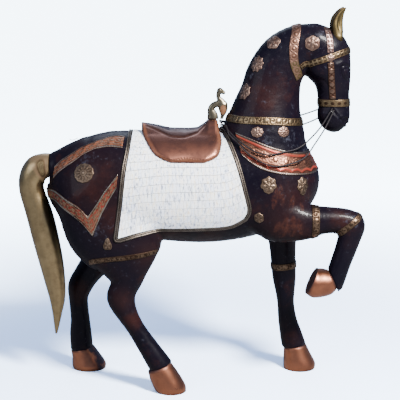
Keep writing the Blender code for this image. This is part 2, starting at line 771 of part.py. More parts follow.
def widened(surface, places, width, ring=False, columns=2):
    """A grid along a route, that many places wide and lying across it on the surface."""
    flat, normals = nearest(surface, np.array(places) * SHARE)
    if ring:
        along = np.roll(flat, -1, axis=0) - np.roll(flat, 1, axis=0)
        normals = unit(normals + np.roll(normals, 1, axis=0) + np.roll(normals, -1, axis=0))
    else:
        along = np.gradient(flat, axis=0)
        before, after = np.vstack([normals[:1], normals[:-1]]), np.vstack([normals[1:], normals[-1:]])
        normals = unit(before + normals + after)
    across = unit(np.cross(along, normals))
    offsets = np.linspace(-0.5, 0.5, columns) * width
    return flat[:, None] / SHARE + across[:, None] * offsets[None, :, None]


def strap(name, surface, route, width, look, ring=False, steps=2, columns=2, thickness=STRAP_THICKNESS):
    """A flat strap of that width along a route."""
    places = smooth_route(route, steps, ring)
    return shell(name, surface, widened(surface, places, width, ring, columns), thickness, look, ring)


def panel(name, surface, upper, lower, look, columns=2, steps=2, thickness=STRAP_THICKNESS):
    """A strap between two edges."""
    top, bottom = smooth_stations(upper, steps), smooth_stations(lower, steps)
    shares = np.linspace(0, 1, columns)[None, :, None]
    return shell(name, surface, top[:, None] * (1 - shares) + bottom[:, None] * shares, thickness, look)


def cloth_grid():
    """Places over the back for the saddlecloth, from rear to front and from right hem to left hem."""
    u = np.linspace(0, 1, CLOTH_COLUMNS)[:, None, None]
    v = np.linspace(0, 1, CLOTH_ROWS)[None, :, None]

    def edge(points, shares):
        rows = smooth_stations(points, 8)
        run = np.concatenate([[0], np.cumsum(np.linalg.norm(np.diff(rows, axis=0), axis=1))])
        return np.stack([np.interp(shares.ravel() * run[-1], run, rows[:, i]) for i in range(3)], axis=-1)

    rear, front = edge(CLOTH_REAR, v)[None], edge(CLOTH_FRONT, v)[None]
    bottom, top = edge(CLOTH_BOTTOM, u)[:, None], edge(CLOTH_TOP, u)[:, None]
    rear_corners = (1 - v) * rear[:, :1] + v * rear[:, -1:]
    front_corners = (1 - v) * front[:, :1] + v * front[:, -1:]
    corners = (1 - u) * rear_corners + u * front_corners
    right = (1 - u) * rear + u * front + (1 - v) * bottom + v * top - corners
    left = right[:, -2::-1] * (1, -1, 1)
    return np.concatenate([right, left], axis=1)


def border(name, surface, grid, width, thickness, look):
    """A closed trim just outside a grid's rim, mitred at its corners."""
    loop = np.vstack([grid[:-1, 0], grid[-1, :-1], grid[:0:-1, -1], grid[0, :0:-1]])
    flat, normals = nearest(surface, loop * SHARE)
    before = unit(flat - np.roll(flat, 1, axis=0))
    after = unit(np.roll(flat, -1, axis=0) - flat)
    outward = unit(np.cross(before, normals) + np.cross(after, normals))
    if ((flat - flat.mean(0)) * outward).sum() < 0:
        outward = -outward
    stretch = 1 / np.sqrt(np.maximum((1 + (before * after).sum(1)) / 2, 0.25))
    outward = outward * stretch[:, None]
    inner = flat + outward * TRIM_GAP
    outer = flat + outward * (TRIM_GAP + width)
    grid = np.stack([inner, outer], axis=1) / SHARE
    return shell(name, surface, grid, thickness, look, ring=True, gap=GAP * 2)


def saddle(surface):
    """The saddle over the cloth, with a top that dips between cantle and pommel."""
    rows = smooth_stations(SADDLE_EDGES, 2)
    rows = np.vstack([rows, rows[-2::-1] * (1, 1, -1, 1)])
    u = np.linspace(0, 1, SADDLE_COLUMNS)[:, None]
    x = rows[:, 0] * (1 - u) + rows[:, 1] * u
    y, z = [np.broadcast_to(rows[:, axis], x.shape) for axis in (2, 3)]
    grid = np.stack([x, y, z], axis=-1)
    rim = np.full(x.shape, float(SADDLE_SIDE))
    rim[:, 0] = rim[:, -1] = SADDLE_RIM
    rim[0, :3] = rim[0, -3:] = rim[-1, :3] = rim[-1, -3:] = SADDLE_RIM

    def tops(under, over):
        along = [place for place, _ in SADDLE_TOP]
        heights = [height for _, height in SADDLE_TOP]
        wanted = np.interp(over[..., 0] / SHARE, along, heights) * SHARE
        near = np.clip(1 - np.abs(over[..., 1]) / (SADDLE_SHOULDER * SHARE), 0, 1)
        blend = np.clip(near * near * (3 - 2 * near) * 1.25, 0, 1)
        raised = over.copy()
        raised[..., 2] += np.maximum(wanted - over[..., 2], 0) * blend
        return raised

    return shell("saddle", surface, grid, rim * SHARE, COPPER, tops=tops)


def turned(name, stations, look, sides=12, steps=1, groove=None, fitted=None):
    """A solid of elliptical sections along its stations, closed at both ends and fitted ring by ring."""
    rows = smooth_stations(stations, steps) if steps > 1 else np.array(stations, float)
    angles = np.arange(sides) * 2 * np.pi / sides
    verts = []
    for k, (x, y, z, half_length, half_width, slope) in enumerate(rows):
        dent = np.ones(sides)
        if groove is not None:
            facing = np.cos(angles - np.radians(EAR_GROOVE_FACES if y < 0 else -EAR_GROOVE_FACES))
            dent = 1 - groove[k] * np.maximum(facing, 0) ** 2 * 1.6
        along = np.array([np.cos(np.radians(slope)), 0, np.sin(np.radians(slope))])
        for angle, d in zip(angles, dent):
            sideways = np.array([0, np.sin(angle) * half_width * d, 0])
            verts.append(np.array([x, y, z]) + along * np.cos(angle) * half_length * d + sideways)
    verts = np.array(verts) * SHARE
    if fitted is not None:
        for k in range(len(rows)):
            verts[k * sides:(k + 1) * sides] = fitted(verts[k * sides:(k + 1) * sides], k)
    faces = []
    for k in range(len(rows) - 1):
        for i in range(sides):
            a, b = k * sides + i, k * sides + (i + 1) % sides
            faces += [(a, b, b + sides), (a, b + sides, a + sides)]
    last = len(verts) - sides
    foot, tip = verts[:sides].mean(0), verts[last:].mean(0)
    if fitted is not None:
        foot = fitted(foot[None], 0)[0]
    verts = np.vstack([verts, [foot, tip]])
    for i in range(sides):
        j = (i + 1) % sides
        faces += [(j, i, last + sides), (last + i, last + j, last + sides + 1)]
    obj = new_object(name, verts, faces, look)
    work = bmesh.new()
    work.from_mesh(obj.data)
    bmesh.ops.recalc_face_normals(work, faces=work.faces)
    work.to_mesh(obj.data)
    work.free()
    flat_edges(obj)
    return obj


def hoof(name, end, stations):
    """A hoof whose first section meets the leg's flat end."""
    outward = np.array([end[3], 0, end[4]]) / np.hypot(end[3], end[4])
    centre = (np.array(end[:3]) * SHARE) + outward * GAP

    def onto_end(verts, ring):
        return verts if ring else verts - outward * ((verts - centre) @ outward)[:, None]

    return turned(name, stations, COPPER, fitted=onto_end)


def ear(name, side, head):
    """A cupped ear whose foot follows the head."""
    stations = [(x, side * EAR_SIDE, z, a, b, slope) for x, _, z, a, b, slope in EAR]

    def onto_head(verts, ring):
        placed = verts.copy()
        for v in placed:
            hit = head.ray_cast(Vector((v[0], v[1], 2 * HEIGHT)), Vector((0, 0, -1)))[0]
            if hit:
                least = hit[2] + EAR_FOOT_GAP + ring * EAR_FOOT_RISE
                v[2] = least if ring == 0 else max(v[2], least)
        return placed

    return turned(name, stations, BRASS, groove=EAR_GROOVE, fitted=onto_head)


def band(name, surface, middle, along, half_depth, half_width, width, start, end):
    """A band round a leg, or part of the way round it."""
    centre = np.array(middle, float)
    axis = np.array([along[0], 0, along[1]]) / np.hypot(*along)
    out = np.array([0, -1.0 if middle[1] < 0 else 1.0, 0])
    front = np.cross(axis, out)
    ring = end - start == 360
    angles = np.radians(np.linspace(start, end, 13))
    if ring:
        angles = angles[:-1]
    offsets = np.outer(np.cos(angles) * half_width, out) + np.outer(np.sin(angles) * half_depth, front)
    edges = [centre + offsets + axis * width * share for share in (-0.5, 0.5)]
    return shell(name, surface, np.stack(edges, axis=1), STRAP_THICKNESS, BRASS, ring)


def heart_outline(count):
    """A heart's outline within one unit each way, point downwards."""
    t = np.arange(count) * 2 * np.pi / count
    x = 16 * np.sin(t) ** 3
    y = 13 * np.cos(t) - 5 * np.cos(2 * t) - 2 * np.cos(3 * t) - np.cos(4 * t)
    return x / 16, (y + 2.5) / 14.5


def round_outline(count, lobes, depth):
    a = np.arange(count) * 2 * np.pi / count
    radius = 1 + depth * np.cos(lobes * a)
    return radius * np.sin(a), radius * np.cos(a)


def medallion(name, surface, body, centre, half_width, half_height, kind, lobes, depth, look, count=13):
    """A nailed disc with a low dome, laid on the surface and facing as the body does there."""
    _, facing = nearest(body, [np.array(centre) * SHARE])
    place, _ = nearest(surface, [np.array(centre) * SHARE])
    place, normal = place[0], facing[0]
    across = unit(np.cross((0, 0, 1), normal))
    up = np.cross(normal, across)
    x, y = heart_outline(count) if kind == HEART else round_outline(count, lobes, depth)
    rim = place + np.outer(x * half_width * SHARE, across) + np.outer(y * half_height * SHARE, up)
    flat, _ = nearest(surface, np.vstack([rim, [place]]))
    normals = np.broadcast_to(normal, flat.shape)
    triangles = [(i, count, (i + 1) % count) for i in range(count)]
    lifts = raise_clear(surface, flat, normals, triangles, GAP)
    under = flat + normals * lifts[:, None]
    over = under + normals * MEDALLION_THICKNESS
    over[-1] = under[-1] + normal * MEDALLION_DOME
    probe = np.cross(over[count] - over[0], over[1] - over[0]) @ normal
    if probe < 0:
        triangles = [t[::-1] for t in triangles]
    return closed_shell(name, under, over, triangles, look)


def rein_route(surface, hanging, lying, end):
    """A rein's places, in metres: free to the shoulder, then over the tack to the pommel."""
    route = np.array(hanging + lying + [end], float) * SHARE
    fine = smooth_stations(route, 12)
    run = np.concatenate([[0], np.cumsum(np.linalg.norm(np.diff(fine, axis=0), axis=1))])
    spaced = np.linspace(0, run[-1], REIN_POINTS)
    places = np.stack([np.interp(spaced, run, fine[:, i]) for i in range(3)], axis=-1)
    free = REIN_DIAMETER / 2 + REIN_GAP
    shares = np.linspace(0, 1, 5)[None, :, None]
    for _ in range(REIN_ROUNDS):
        tries = (places[:-1, None] * (1 - shares) + places[1:, None] * shares)
        near, normals = nearest(surface, tries.reshape(-1, 3))
        apart = tries.reshape(-1, 3) - near
        far = np.linalg.norm(apart, axis=1) * np.sign((apart * normals).sum(1))
        away = np.where((far > 0)[:, None], unit(apart), normals)
        push = (away * np.maximum(free - far, 0)[:, None]).reshape(tries.shape)
        places[:-1] += (push * (1 - shares)).max(1) + (push * (1 - shares)).min(1)
        places[1:] += (push * shares).max(1) + (push * shares).min(1)
    return places


def wire(name, places, diameter, look):
    """A wire of that diameter through places in metres."""
    curve = bpy.data.curves.new(name, "CURVE")
    curve.dimensions = "3D"
    curve.bevel_depth = diameter / 2
    curve.bevel_resolution = 1
    curve.use_fill_caps = True
    spline = curve.splines.new("POLY")
    spline.points.add(len(places) - 1)
    for point, place in zip(spline.points, places):
        point.co = (*place, 1.0)
    obj = bpy.data.objects.new(name, curve)
    bpy.context.scene.collection.objects.link(obj)
    return finish(obj, look)


def bridle(body):
    """The straps round the head and neck."""
    crown = strap("crown_band", body, whole(CROWN_ROUTE), CROWN_WIDTH, PINK_COPPER)
    brow = strap("brow_band", body, whole(BROW_ROUTE), BROW_WIDTH, BRASS)
    pieces = [crown, brow]
    for side, turn in (("right", list), ("left", mirrored)):
        upper, lower = turn(UPPER_CHEEK_ROUTE), turn(LOWER_CHEEK_ROUTE)
        pieces.append(strap(f"cheek_strap_upper_{side}", body, upper, CHEEK_WIDTH, BRASS))
        pieces.append(strap(f"cheek_strap_lower_{side}", body, lower, CHEEK_WIDTH, PINK_COPPER))
    pieces.append(strap("noseband", body, ring_of(NOSEBAND_ROUTE), NOSEBAND_WIDTH, BRASS, ring=True))
    pieces.append(strap("neck_band", body, ring_of(NECK_BAND_ROUTE), NECK_BAND_WIDTH, BRASS, ring=True))
    return pieces


def rump_straps(body):
    """The crupper straps from the cloth to the tail, and the pointed strap round the haunches."""
    pieces = []
    for side, turn in (("right", list), ("left", mirrored)):
        upper, lower = turn(CRUPPER_UPPER), turn(CRUPPER_LOWER)
        pieces.append(panel(f"crupper_{side}", body, upper, lower, RED_COPPER, columns=3))
    edges = []
    for rear, fore in ((VEE_REAR_UPPER, VEE_FORE_UPPER), (VEE_REAR_LOWER, VEE_FORE_LOWER)):
        right = np.vstack([smooth_stations(rear, 2)[:-1], smooth_stations(fore, 2)])
        left = right[:0:-1] * (1, -1, 1)
        edges.append(np.vstack([left, right]))
    pieces.append(shell("haunch_strap", body, np.stack(edges, axis=1), STRAP_THICKNESS, RED_COPPER))
    return pieces


def stand_on(piece, below):
    """Moves a piece up or down until its foot stands just clear of the highest place of the one below."""
    level = max(v.co.z for v in below.data.vertices)
    foot = min(v.co.z for v in piece.data.vertices)
    for v in piece.data.vertices:
        v.co.z += level + GAP - foot


def to_origin():
    """Moves everything so that the middle of the horse's footprint stands on the origin."""
    boxes = []
    for obj in bpy.data.objects:
        if obj.type == "MESH":
            boxes += [v.co for v in obj.data.vertices]
    places = np.array(boxes)
    middle = (places.min(0) + places.max(0)) / 2
    shift = np.array([-middle[0], -middle[1], -places[:, 2].min()])
    for obj in bpy.data.objects:
        if obj.type == "MESH":
            for v in obj.data.vertices:
                v.co += Vector(shift)
        else:
            for point in obj.data.splines[0].points:
                point.co = (*(Vector(point.co[:3]) + Vector(shift)), 1.0)


def main():
    for old in list(bpy.data.objects):
        bpy.data.objects.remove(old)
    horse = carved_object("horse_body", BODY_MASSES, CARVING_STEP, BODY_TRIANGLES, FLAT_ENDS, LACQUER)
    body = surface_of([horse])
    for name, (end, stations) in HOOVES.items():
        hoof(name, end, stations)
    turned("tail", TAIL, PALE_BRASS)
    ear("ear_right", -1, body)
    ear("ear_left", 1, body)
    tack = bridle(body)
    tack.append(panel("collar", body, whole(COLLAR_UPPER), whole(COLLAR_LOWER), RED_COPPER, columns=3,
                      thickness=COLLAR_THICKNESS))
    rump_straps(body)
    for name, measures in LEG_BANDS.items():
        band(name, body, *measures)
    dressed = surface_of([horse] + tack)
    for name, ((x, y, z), *outline, on_left) in MEDALLIONS.items():
        look = BRASS if name in BRASS_MEDALLIONS else PINK_COPPER
        tack.append(medallion(name + "_right", dressed, body, (x, y, z), *outline, look))
        if on_left:
            tack.append(medallion(name + "_left", dressed, body, (x, -y, z), *outline, look))
    grid = cloth_grid()
    cloth = shell("saddlecloth", body, grid, CLOTH_THICKNESS, PEARL)
    trim = border("cloth_trim", body, grid, TRIM_WIDTH, TRIM_THICKNESS, PEWTER)
    seat = saddle(surface_of([horse, cloth, trim]))
    finial_masses = [FINIAL_SCROLL, FINIAL_NECK, FINIAL_BEAK]
    finial = carved_object("finial", finial_masses, FINIAL_STEP, FINIAL_TRIANGLES, [FINIAL_SEAT], BRASS)
    stand_on(finial, seat)
    tack += [horse, cloth, trim, seat]
    for name, (hanging, lying) in REINS.items():
        _, side, level = name.split("_")
        x, y, z = REIN_ENDS[level]
        end = (x, -y if side == "right" else y, z)
        tack.append(wire(name, rein_route(surface_of(tack), hanging, lying, end), REIN_DIAMETER, WIRE))
    wire("croup_wire", smooth_stations(CROUP_WIRE, 2) * SHARE, CROUP_WIRE_DIAMETER, WIRE)
    to_origin()


main()
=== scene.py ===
"""The looks of a painted wooden horse, about 0.9 m tall, with sheet-metal tack nailed over the carving."""

import bmesh
import bpy
import numpy as np
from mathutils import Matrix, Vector
from mathutils.bvhtree import BVHTree


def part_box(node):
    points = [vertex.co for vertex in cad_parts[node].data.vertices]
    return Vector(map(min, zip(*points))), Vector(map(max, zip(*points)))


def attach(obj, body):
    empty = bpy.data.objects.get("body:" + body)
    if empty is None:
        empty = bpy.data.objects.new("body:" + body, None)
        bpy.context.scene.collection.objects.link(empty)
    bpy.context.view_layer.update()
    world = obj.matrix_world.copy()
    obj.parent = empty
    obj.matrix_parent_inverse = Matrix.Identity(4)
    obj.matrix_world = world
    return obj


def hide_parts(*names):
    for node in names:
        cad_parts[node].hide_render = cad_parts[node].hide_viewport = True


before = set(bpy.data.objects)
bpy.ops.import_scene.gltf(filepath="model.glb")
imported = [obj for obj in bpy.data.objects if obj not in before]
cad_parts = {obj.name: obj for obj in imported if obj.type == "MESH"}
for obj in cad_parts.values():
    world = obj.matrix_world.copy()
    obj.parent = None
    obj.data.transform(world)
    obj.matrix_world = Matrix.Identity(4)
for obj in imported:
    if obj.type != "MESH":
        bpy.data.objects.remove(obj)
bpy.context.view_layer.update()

# Camera, floor and light
# A standing camera a little above the horse's back, looking at its right side. The floor and the air are
# pale. One broad light stands in front of the horse to the right, and two weak ones fill its rear and back.
HEIGHT = 0.900
SHARE = HEIGHT / 900
STANDING_HOOF = (250, 78)
hoof_low, hoof_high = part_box("hoof_far_fore")
SHIFT = np.array([
    (hoof_low[0] + hoof_high[0]) / 2 - STANDING_HOOF[0] * SHARE,
    (hoof_low[1] + hoof_high[1]) / 2 - STANDING_HOOF[1] * SHARE,
    0.0,
])
CAMERA_PLACE = (0.0, -2.6, 1.0)
CAMERA_AIM = (0.0, 0.0, 0.4476)
CAMERA_LENS = 100.77
SENSOR_WIDTH = 36.0

camera_data = bpy.data.cameras.new("camera")
camera_data.lens = CAMERA_LENS
camera_data.sensor_width = SENSOR_WIDTH
camera = bpy.data.objects.new("camera", camera_data)
camera.location = Vector(CAMERA_PLACE) + Vector(SHIFT)
aim = Vector(CAMERA_AIM) + Vector(SHIFT)
camera.rotation_euler = (aim - camera.location).to_track_quat("-Z", "Y").to_euler()
bpy.context.scene.collection.objects.link(camera)
bpy.context.scene.camera = camera


def new_material(name, colour, roughness, metallic=0.0):
    material = bpy.data.materials.new(name)
    material.use_nodes = True
    shader = material.node_tree.nodes["Principled BSDF"]
    shader.inputs["Base Color"].default_value = (*colour, 1.0)
    shader.inputs["Roughness"].default_value = roughness
    shader.inputs["Metallic"].default_value = metallic
    material.diffuse_color = (*colour, 1.0)
    return material, material.node_tree, shader


# Each light's place, the height it is aimed at, its width, power and colour
LIGHTS = {
    "key_light": ((1.5, -1.9, 2.4), 0.45, 0.7, 430, (1.0, 0.98, 0.95)),
    "fill_light": ((-2.2, -2.0, 1.6), 0.45, 2.0, 42, (0.86, 0.93, 1.0)),
    "top_light": ((-0.4, 1.6, 2.2), 0.5, 1.4, 22, (0.75, 0.86, 1.0)),
}
for name, (place, aim_height, width, power, colour) in LIGHTS.items():
    light = bpy.data.lights.new(name, "AREA")
    light.shape = "DISK"
    light.size = width
    light.energy = power
    light.color = colour
    lamp = bpy.data.objects.new(name, light)
    lamp.location = place
    lamp.rotation_euler = (Vector((0, 0, aim_height)) - Vector(place)).to_track_quat("-Z", "Y").to_euler()
    bpy.context.scene.collection.objects.link(lamp)


def link(source, target):
    """Joins two sockets of one node tree."""
    source.id_data.links.new(source, target)


def is_socket(value):
    return hasattr(value, "is_linked")


def mixed(share, first, second, way="MIX"):
    """Two colours mixed by a share. Each of the three may be a socket or a value."""
    tree = next(value for value in (share, first, second) if is_socket(value)).id_data
    node = tree.nodes.new("ShaderNodeMix")
    node.data_type = "RGBA"
    node.blend_type = way
    for socket, value in ((node.inputs[0], share), (node.inputs[6], first), (node.inputs[7], second)):
        if is_socket(value):
            link(value, socket)
        elif isinstance(value, (int, float)):
            socket.default_value = value
        else:
            socket.default_value = (*value, 1.0)
    return node.outputs[2]


def seen_or_lit(seen, lit, socket):
    """Gives a socket one colour where the camera sees it and another where it lights the horse."""
    path = socket.id_data.nodes.new("ShaderNodeLightPath")
    link(mixed(path.outputs["Is Camera Ray"], lit, seen), socket)


def object_place(tree):
    return tree.nodes.new("ShaderNodeTexCoord").outputs["Object"]


AIR_SEEN = (6.6, 7.6, 8.0)
AIR_LIT = (0.24, 0.33, 0.54)
world = bpy.data.worlds.new("pale_air")
world.use_nodes = True
seen_or_lit(AIR_SEEN, AIR_LIT, world.node_tree.nodes["Background"].inputs["Color"])
bpy.context.scene.world = world

FLOOR_HALF = 30
FLOOR_SEEN = (1.4, 1.7, 2.2)
FLOOR_LIT = (0.30, 0.31, 0.33)
FLOOR_GLOW = (6.2, 7.3, 7.8)
FLOOR_GLOW_FROM = 0.55
FLOOR_GLOW_FULL = 2.6
floor_mesh = bpy.data.meshes.new("floor")
corners = [(x * FLOOR_HALF, y * FLOOR_HALF, 0) for x, y in ((-1, -1), (1, -1), (1, 1), (-1, 1))]
floor_mesh.from_pydata(corners, [], [(0, 1, 2, 3)])
floor = bpy.data.objects.new("floor", floor_mesh)
pale_floor, floor_tree, floor_shader = new_material("pale_floor", (0.86, 0.88, 0.90), 0.9)
floor_shader.inputs["Specular IOR Level"].default_value = 0.0
seen_or_lit(FLOOR_SEEN, FLOOR_LIT, floor_shader.inputs["Base Color"])
floor_run = floor_tree.nodes.new("ShaderNodeVectorMath")
floor_run.operation = "LENGTH"
link(object_place(floor_tree), floor_run.inputs[0])
far_share = floor_tree.nodes.new("ShaderNodeMapRange")
far_share.interpolation_type = "SMOOTHSTEP"
far_share.inputs["From Min"].default_value = FLOOR_GLOW_FROM
far_share.inputs["From Max"].default_value = FLOOR_GLOW_FULL
link(floor_run.outputs["Value"], far_share.inputs["Value"])
link(mixed(far_share.outputs["Result"], (0, 0, 0), FLOOR_GLOW), floor_shader.inputs["Emission Color"])
camera_only = floor_tree.nodes.new("ShaderNodeLightPath").outputs["Is Camera Ray"]
link(camera_only, floor_shader.inputs["Emission Strength"])
floor.data.materials.append(pale_floor)
bpy.context.scene.collection.objects.link(floor)

# Reins
# Four thin dark iron wires, two on each side. Each starts at the corner of the mouth, hangs free to the
# shoulder, lies over the collar and is hooked to the pommel.
REIN_DIAMETER = 0.0036
REIN_GAP = 0.0007
REIN_POINTS = 17
REIN_TRIES = 5
REIN_ROUNDS = 40
REINS = {
    "rein_right_upper": [(305, -31, 670), (278, -42, 628), (242, -62, 594), (220, -74, 582), (199, -80, 578),
                         (173, -86, 572), (151, -90, 570), (126, -88, 578), (100, -72, 592), (76, -52, 612)],
    "rein_right_lower": [(309, -31, 666), (288, -44, 626), (256, -66, 582), (240, -82, 564), (220, -90, 556),
                         (190, -98, 548), (160, -99, 547), (130, -94, 560), (104, -80, 578), (80, -56, 604)],
    "rein_left_upper": [(305, 31, 670), (276, 42, 657), (240, 60, 642), (205, 68, 634), (165, 76, 628),
                        (120, 74, 624), (88, 54, 624), (72, 38, 628)],
    "rein_left_lower": [(309, 31, 666), (281, 44, 638), (244, 66, 618), (205, 78, 604), (165, 86, 596),
                        (125, 82, 600), (98, 66, 608), (80, 48, 614)],
}
REIN_ENDS = {"upper": (46, 9, 637), "lower": (50, 17, 631)}


def smooth_stations(stations, steps=4):
    """Stations read from a smooth curve through the given ones."""
    rows = np.array(stations, float)
    rows = np.vstack([2 * rows[0] - rows[1], rows, 2 * rows[-1] - rows[-2]])
    t = np.linspace(0, 1, steps, endpoint=False)[:, None]
    pieces = []
    for a, b, c, d in zip(rows, rows[1:], rows[2:], rows[3:]):
        bend = (2 * a - 5 * b + 4 * c - d) * t**2
        swing = (3 * b - a - 3 * c + d) * t**3
        pieces.append(0.5 * (2 * b + (c - a) * t + bend + swing))
    return np.vstack(pieces + [rows[-2:-1]])


def placed(points):
    """Places of the drawing, in millimetres, as places of the horse, in metres."""
    return np.array(points, float) * SHARE + SHIFT


def unit(vectors):
    return vectors / np.maximum(np.linalg.norm(vectors, axis=-1, keepdims=True), 1e-12)


def surface_of(objects):
    """One search tree of all the objects' faces."""
    verts = []
    faces = []
    for obj in objects:
        start = len(verts)
        verts += [v.co.copy() for v in obj.data.vertices]
        faces += [[start + i for i in p.vertices] for p in obj.data.polygons]
    return BVHTree.FromPolygons(verts, faces)


def nearest(surface, points):
    """The surface's nearest places to the points, and its normals there."""
    found = [surface.find_nearest(Vector(p)) for p in points]
    return np.array([f[0] for f in found]), np.array([f[1] for f in found])


def run_of(places):
    """How far along a line of places each one lies."""
    return np.concatenate([[0], np.cumsum(np.linalg.norm(np.diff(places, axis=0), axis=1))])


def evenly(places, count):
    """That many places at even distances along a line of places."""
    run = run_of(places)
    spaced = np.linspace(0, run[-1], count)
    return np.stack([np.interp(spaced, run, places[:, i]) for i in range(places.shape[1])], axis=-1)


def rein_route(surface, stations):
    """A rein's places: free to the shoulder, then over the tack to the pommel."""
    places = evenly(smooth_stations(placed(stations), 12), REIN_POINTS)
    free = REIN_DIAMETER / 2 + REIN_GAP
    shares = np.linspace(0, 1, REIN_TRIES)[None, :, None]
    for _ in range(REIN_ROUNDS):
        tries = places[:-1, None] * (1 - shares) + places[1:, None] * shares
        near, normals = nearest(surface, tries.reshape(-1, 3))
        apart = tries.reshape(-1, 3) - near
        far = np.linalg.norm(apart, axis=1) * np.sign((apart * normals).sum(1))
        away = np.where((far > 0)[:, None], unit(apart), normals)
        push = (away * np.maximum(free - far, 0)[:, None]).reshape(tries.shape)
        places[:-1] += (push * (1 - shares)).max(1) + (push * (1 - shares)).min(1)
        places[1:] += (push * shares).max(1) + (push * shares).min(1)
    return places


def noise(place, scale, detail=4.0, roughness=0.55):
    """Cloudy noise over a place. Its scale may be a socket or a value."""
    node = place.id_data.nodes.new("ShaderNodeTexNoise")
    node.inputs["Detail"].default_value = detail
    node.inputs["Roughness"].default_value = roughness
    link(place, node.inputs["Vector"])
    if is_socket(scale):
        link(scale, node.inputs["Scale"])
    else:
        node.inputs["Scale"].default_value = scale
    return node.outputs["Fac"]


def steps_of(source, *stops):
    """A colour ramp over a value: its places and colours."""
    node = source.id_data.nodes.new("ShaderNodeValToRGB")
    ramp = node.color_ramp
    while len(ramp.elements) < len(stops):
        ramp.elements.new(0.5)
    for element, (place, colour) in zip(ramp.elements, stops):
        element.position = place
        element.color = (*colour, 1.0)
    link(source, node.inputs["Fac"])
    return node.outputs["Color"]


iron, iron_tree, iron_shader = new_material("dark_iron_wire", (0.02, 0.018, 0.019), 0.5, 0.4)
iron_shader.inputs["Specular IOR Level"].default_value = 0.12
iron_tone = steps_of(noise(object_place(iron_tree), 400, 2.0, 0.5), (0.0, (0.006, 0.005, 0.006)),
                     (1.0, (0.028, 0.024, 0.026)))
link(iron_tone, iron_shader.inputs["Base Color"])


def wire(name, places, diameter):
    """A wire of that diameter along places."""
    curve = bpy.data.curves.new(name, "CURVE")
    curve.dimensions = "3D"
    curve.bevel_depth = diameter / 2
    curve.bevel_resolution = 3
    curve.use_fill_caps = True
    spline = curve.splines.new("POLY")
    spline.points.add(len(places) - 1)
    for point, place in zip(spline.points, places):
        point.co = (*place, 1.0)
    obj = bpy.data.objects.new(name, curve)
    bpy.context.scene.collection.objects.link(obj)
    obj.data.materials.append(iron)
    return obj


UNDER_REINS = ("crown", "brow", "cheek", "noseband", "neck_band", "collar", "medallion", "heart", "horse",
               "saddle", "cloth")
lain_on = [node for name, node in sorted(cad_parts.items()) if name.startswith(UNDER_REINS)]
for name, stations in REINS.items():
    _, side, level = name.split("_")
    x, y, z = REIN_ENDS[level]
    route = rein_route(surface_of(lain_on), stations + [(x, -y if side == "right" else y, z)])
    rein = wire(name.replace("rein", "iron_rein"), smooth_stations(route, 2), REIN_DIAMETER)
    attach(rein, "root")
    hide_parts(name)
    lain_on.append(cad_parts[name])

# Carved body
# The horse is carved from blocks of wood and painted in a near-black brown lacquer. Its head, neck, trunk and
# legs are one carving, with the legs cut flat where the hooves are fixed and the dock cut flat for the tail.
TORSO = (22, [
    (-298, 0, 474, 52, 54), (-283, 0, 478, 82, 78), (-250, 0, 484, 106, 100), (-200, 0, 489, 124, 110),
    (-110, 0, 482, 127, 111), (0, 0, 477, 130, 110), (80, 0, 480, 125, 106), (140, 0, 488, 114, 99),
    (188, 0, 496, 98, 90), (219, 0, 503, 56, 62),
])
NECK = (30, [
    (140, 0, 535, 96, 88), (147, 0, 590, 100, 80), (153, 0, 648, 83, 66), (163, 0, 700, 70, 54),
    (172, 0, 742, 65, 48), (196, 0, 784, 60, 43), (229, 0, 810, 51, 39), (262, 0, 819, 42, 36),
])
HEAD = (16, [
    (268, 0, 817, 41, 38), (291, 0, 799, 52, 42), (301, 0, 762, 48, 40), (308, 0, 728, 41, 33),
    (310, 0, 700, 37, 28), (312, 0, 672, 37, 27), (312, 0, 650, 38, 30), (314, 0, 637, 30, 26),
    (320, 0, 629, 13, 17),
])
JOWL = (8, [
    (284, 0, 773, 44, 45),
    (284, 0, 767, 44, 45),
])
FAR_FORELEG = (18, [
    (190, 50, 440, 58, 42), (197, 56, 380, 46, 36), (201, 60, 341, 35, 31), (204, 64, 295, 31, 27),
    (208, 68, 240, 29, 26), (211, 70, 203, 24, 23), (213, 72, 172, 21, 21), (218, 74, 130, 23, 22),
    (229, 77, 84, 28, 26), (238, 78, 52, 30, 28),
])
NEAR_FORELEG = (18, [
    (158, -54, 520, 66, 42), (164, -60, 470, 74, 46), (178, -64, 430, 68, 44), (208, -68, 416, 54, 40),
    (245, -70, 411, 42, 36), (280, -72, 415, 33, 31), (318, -72, 415, 30, 28), (344, -72, 411, 29, 27),
    (354, -72, 402, 29, 27), (348, -72, 376, 27, 25), (339, -72, 345, 25, 24), (329, -72, 315, 24, 24),
    (318, -72, 280, 24, 24), (308, -72, 250, 24, 24),
])
NEAR_HINDLEG = (18, [
    (-258, -46, 462, 82, 58), (-221, -54, 407, 102, 57), (-187, -58, 364, 98, 53),
    (-179, -61, 338, 86, 47), (-174, -64, 308, 62, 39), (-171, -66, 277, 40, 32),
    (-179, -68, 252, 33, 28), (-186, -70, 226, 33, 27), (-172, -73, 190, 25, 24),
    (-152, -75, 155, 21, 21), (-129, -77, 118, 23, 22), (-107, -79, 84, 26, 25), (-92, -79, 60, 28, 27),
])
FAR_HINDLEG = (18, [
    (-256, 46, 462, 80, 58), (-216, 54, 405, 92, 57), (-208, 59, 350, 62, 46), (-243, 64, 295, 41, 36),
    (-278, 68, 248, 32, 29), (-297, 70, 216, 30, 27), (-302, 73, 187, 24, 24), (-301, 75, 156, 23, 22),
    (-299, 77, 122, 24, 23), (-299, 79, 90, 27, 26), (-297, 79, 52, 28, 28),
])
DOCK = (20, [
    (-270, 0, 566, 26, 26), (-301, 0, 556, 26, 27), (-339, 0, 537, 27, 27), (-356, 0, 531, 28, 27),
    (-362, 0, 529, 28, 27),
])
BODY_MASSES = [TORSO, NEAR_HINDLEG, FAR_HINDLEG, FAR_FORELEG, NEAR_FORELEG, NECK, HEAD, JOWL, DOCK]
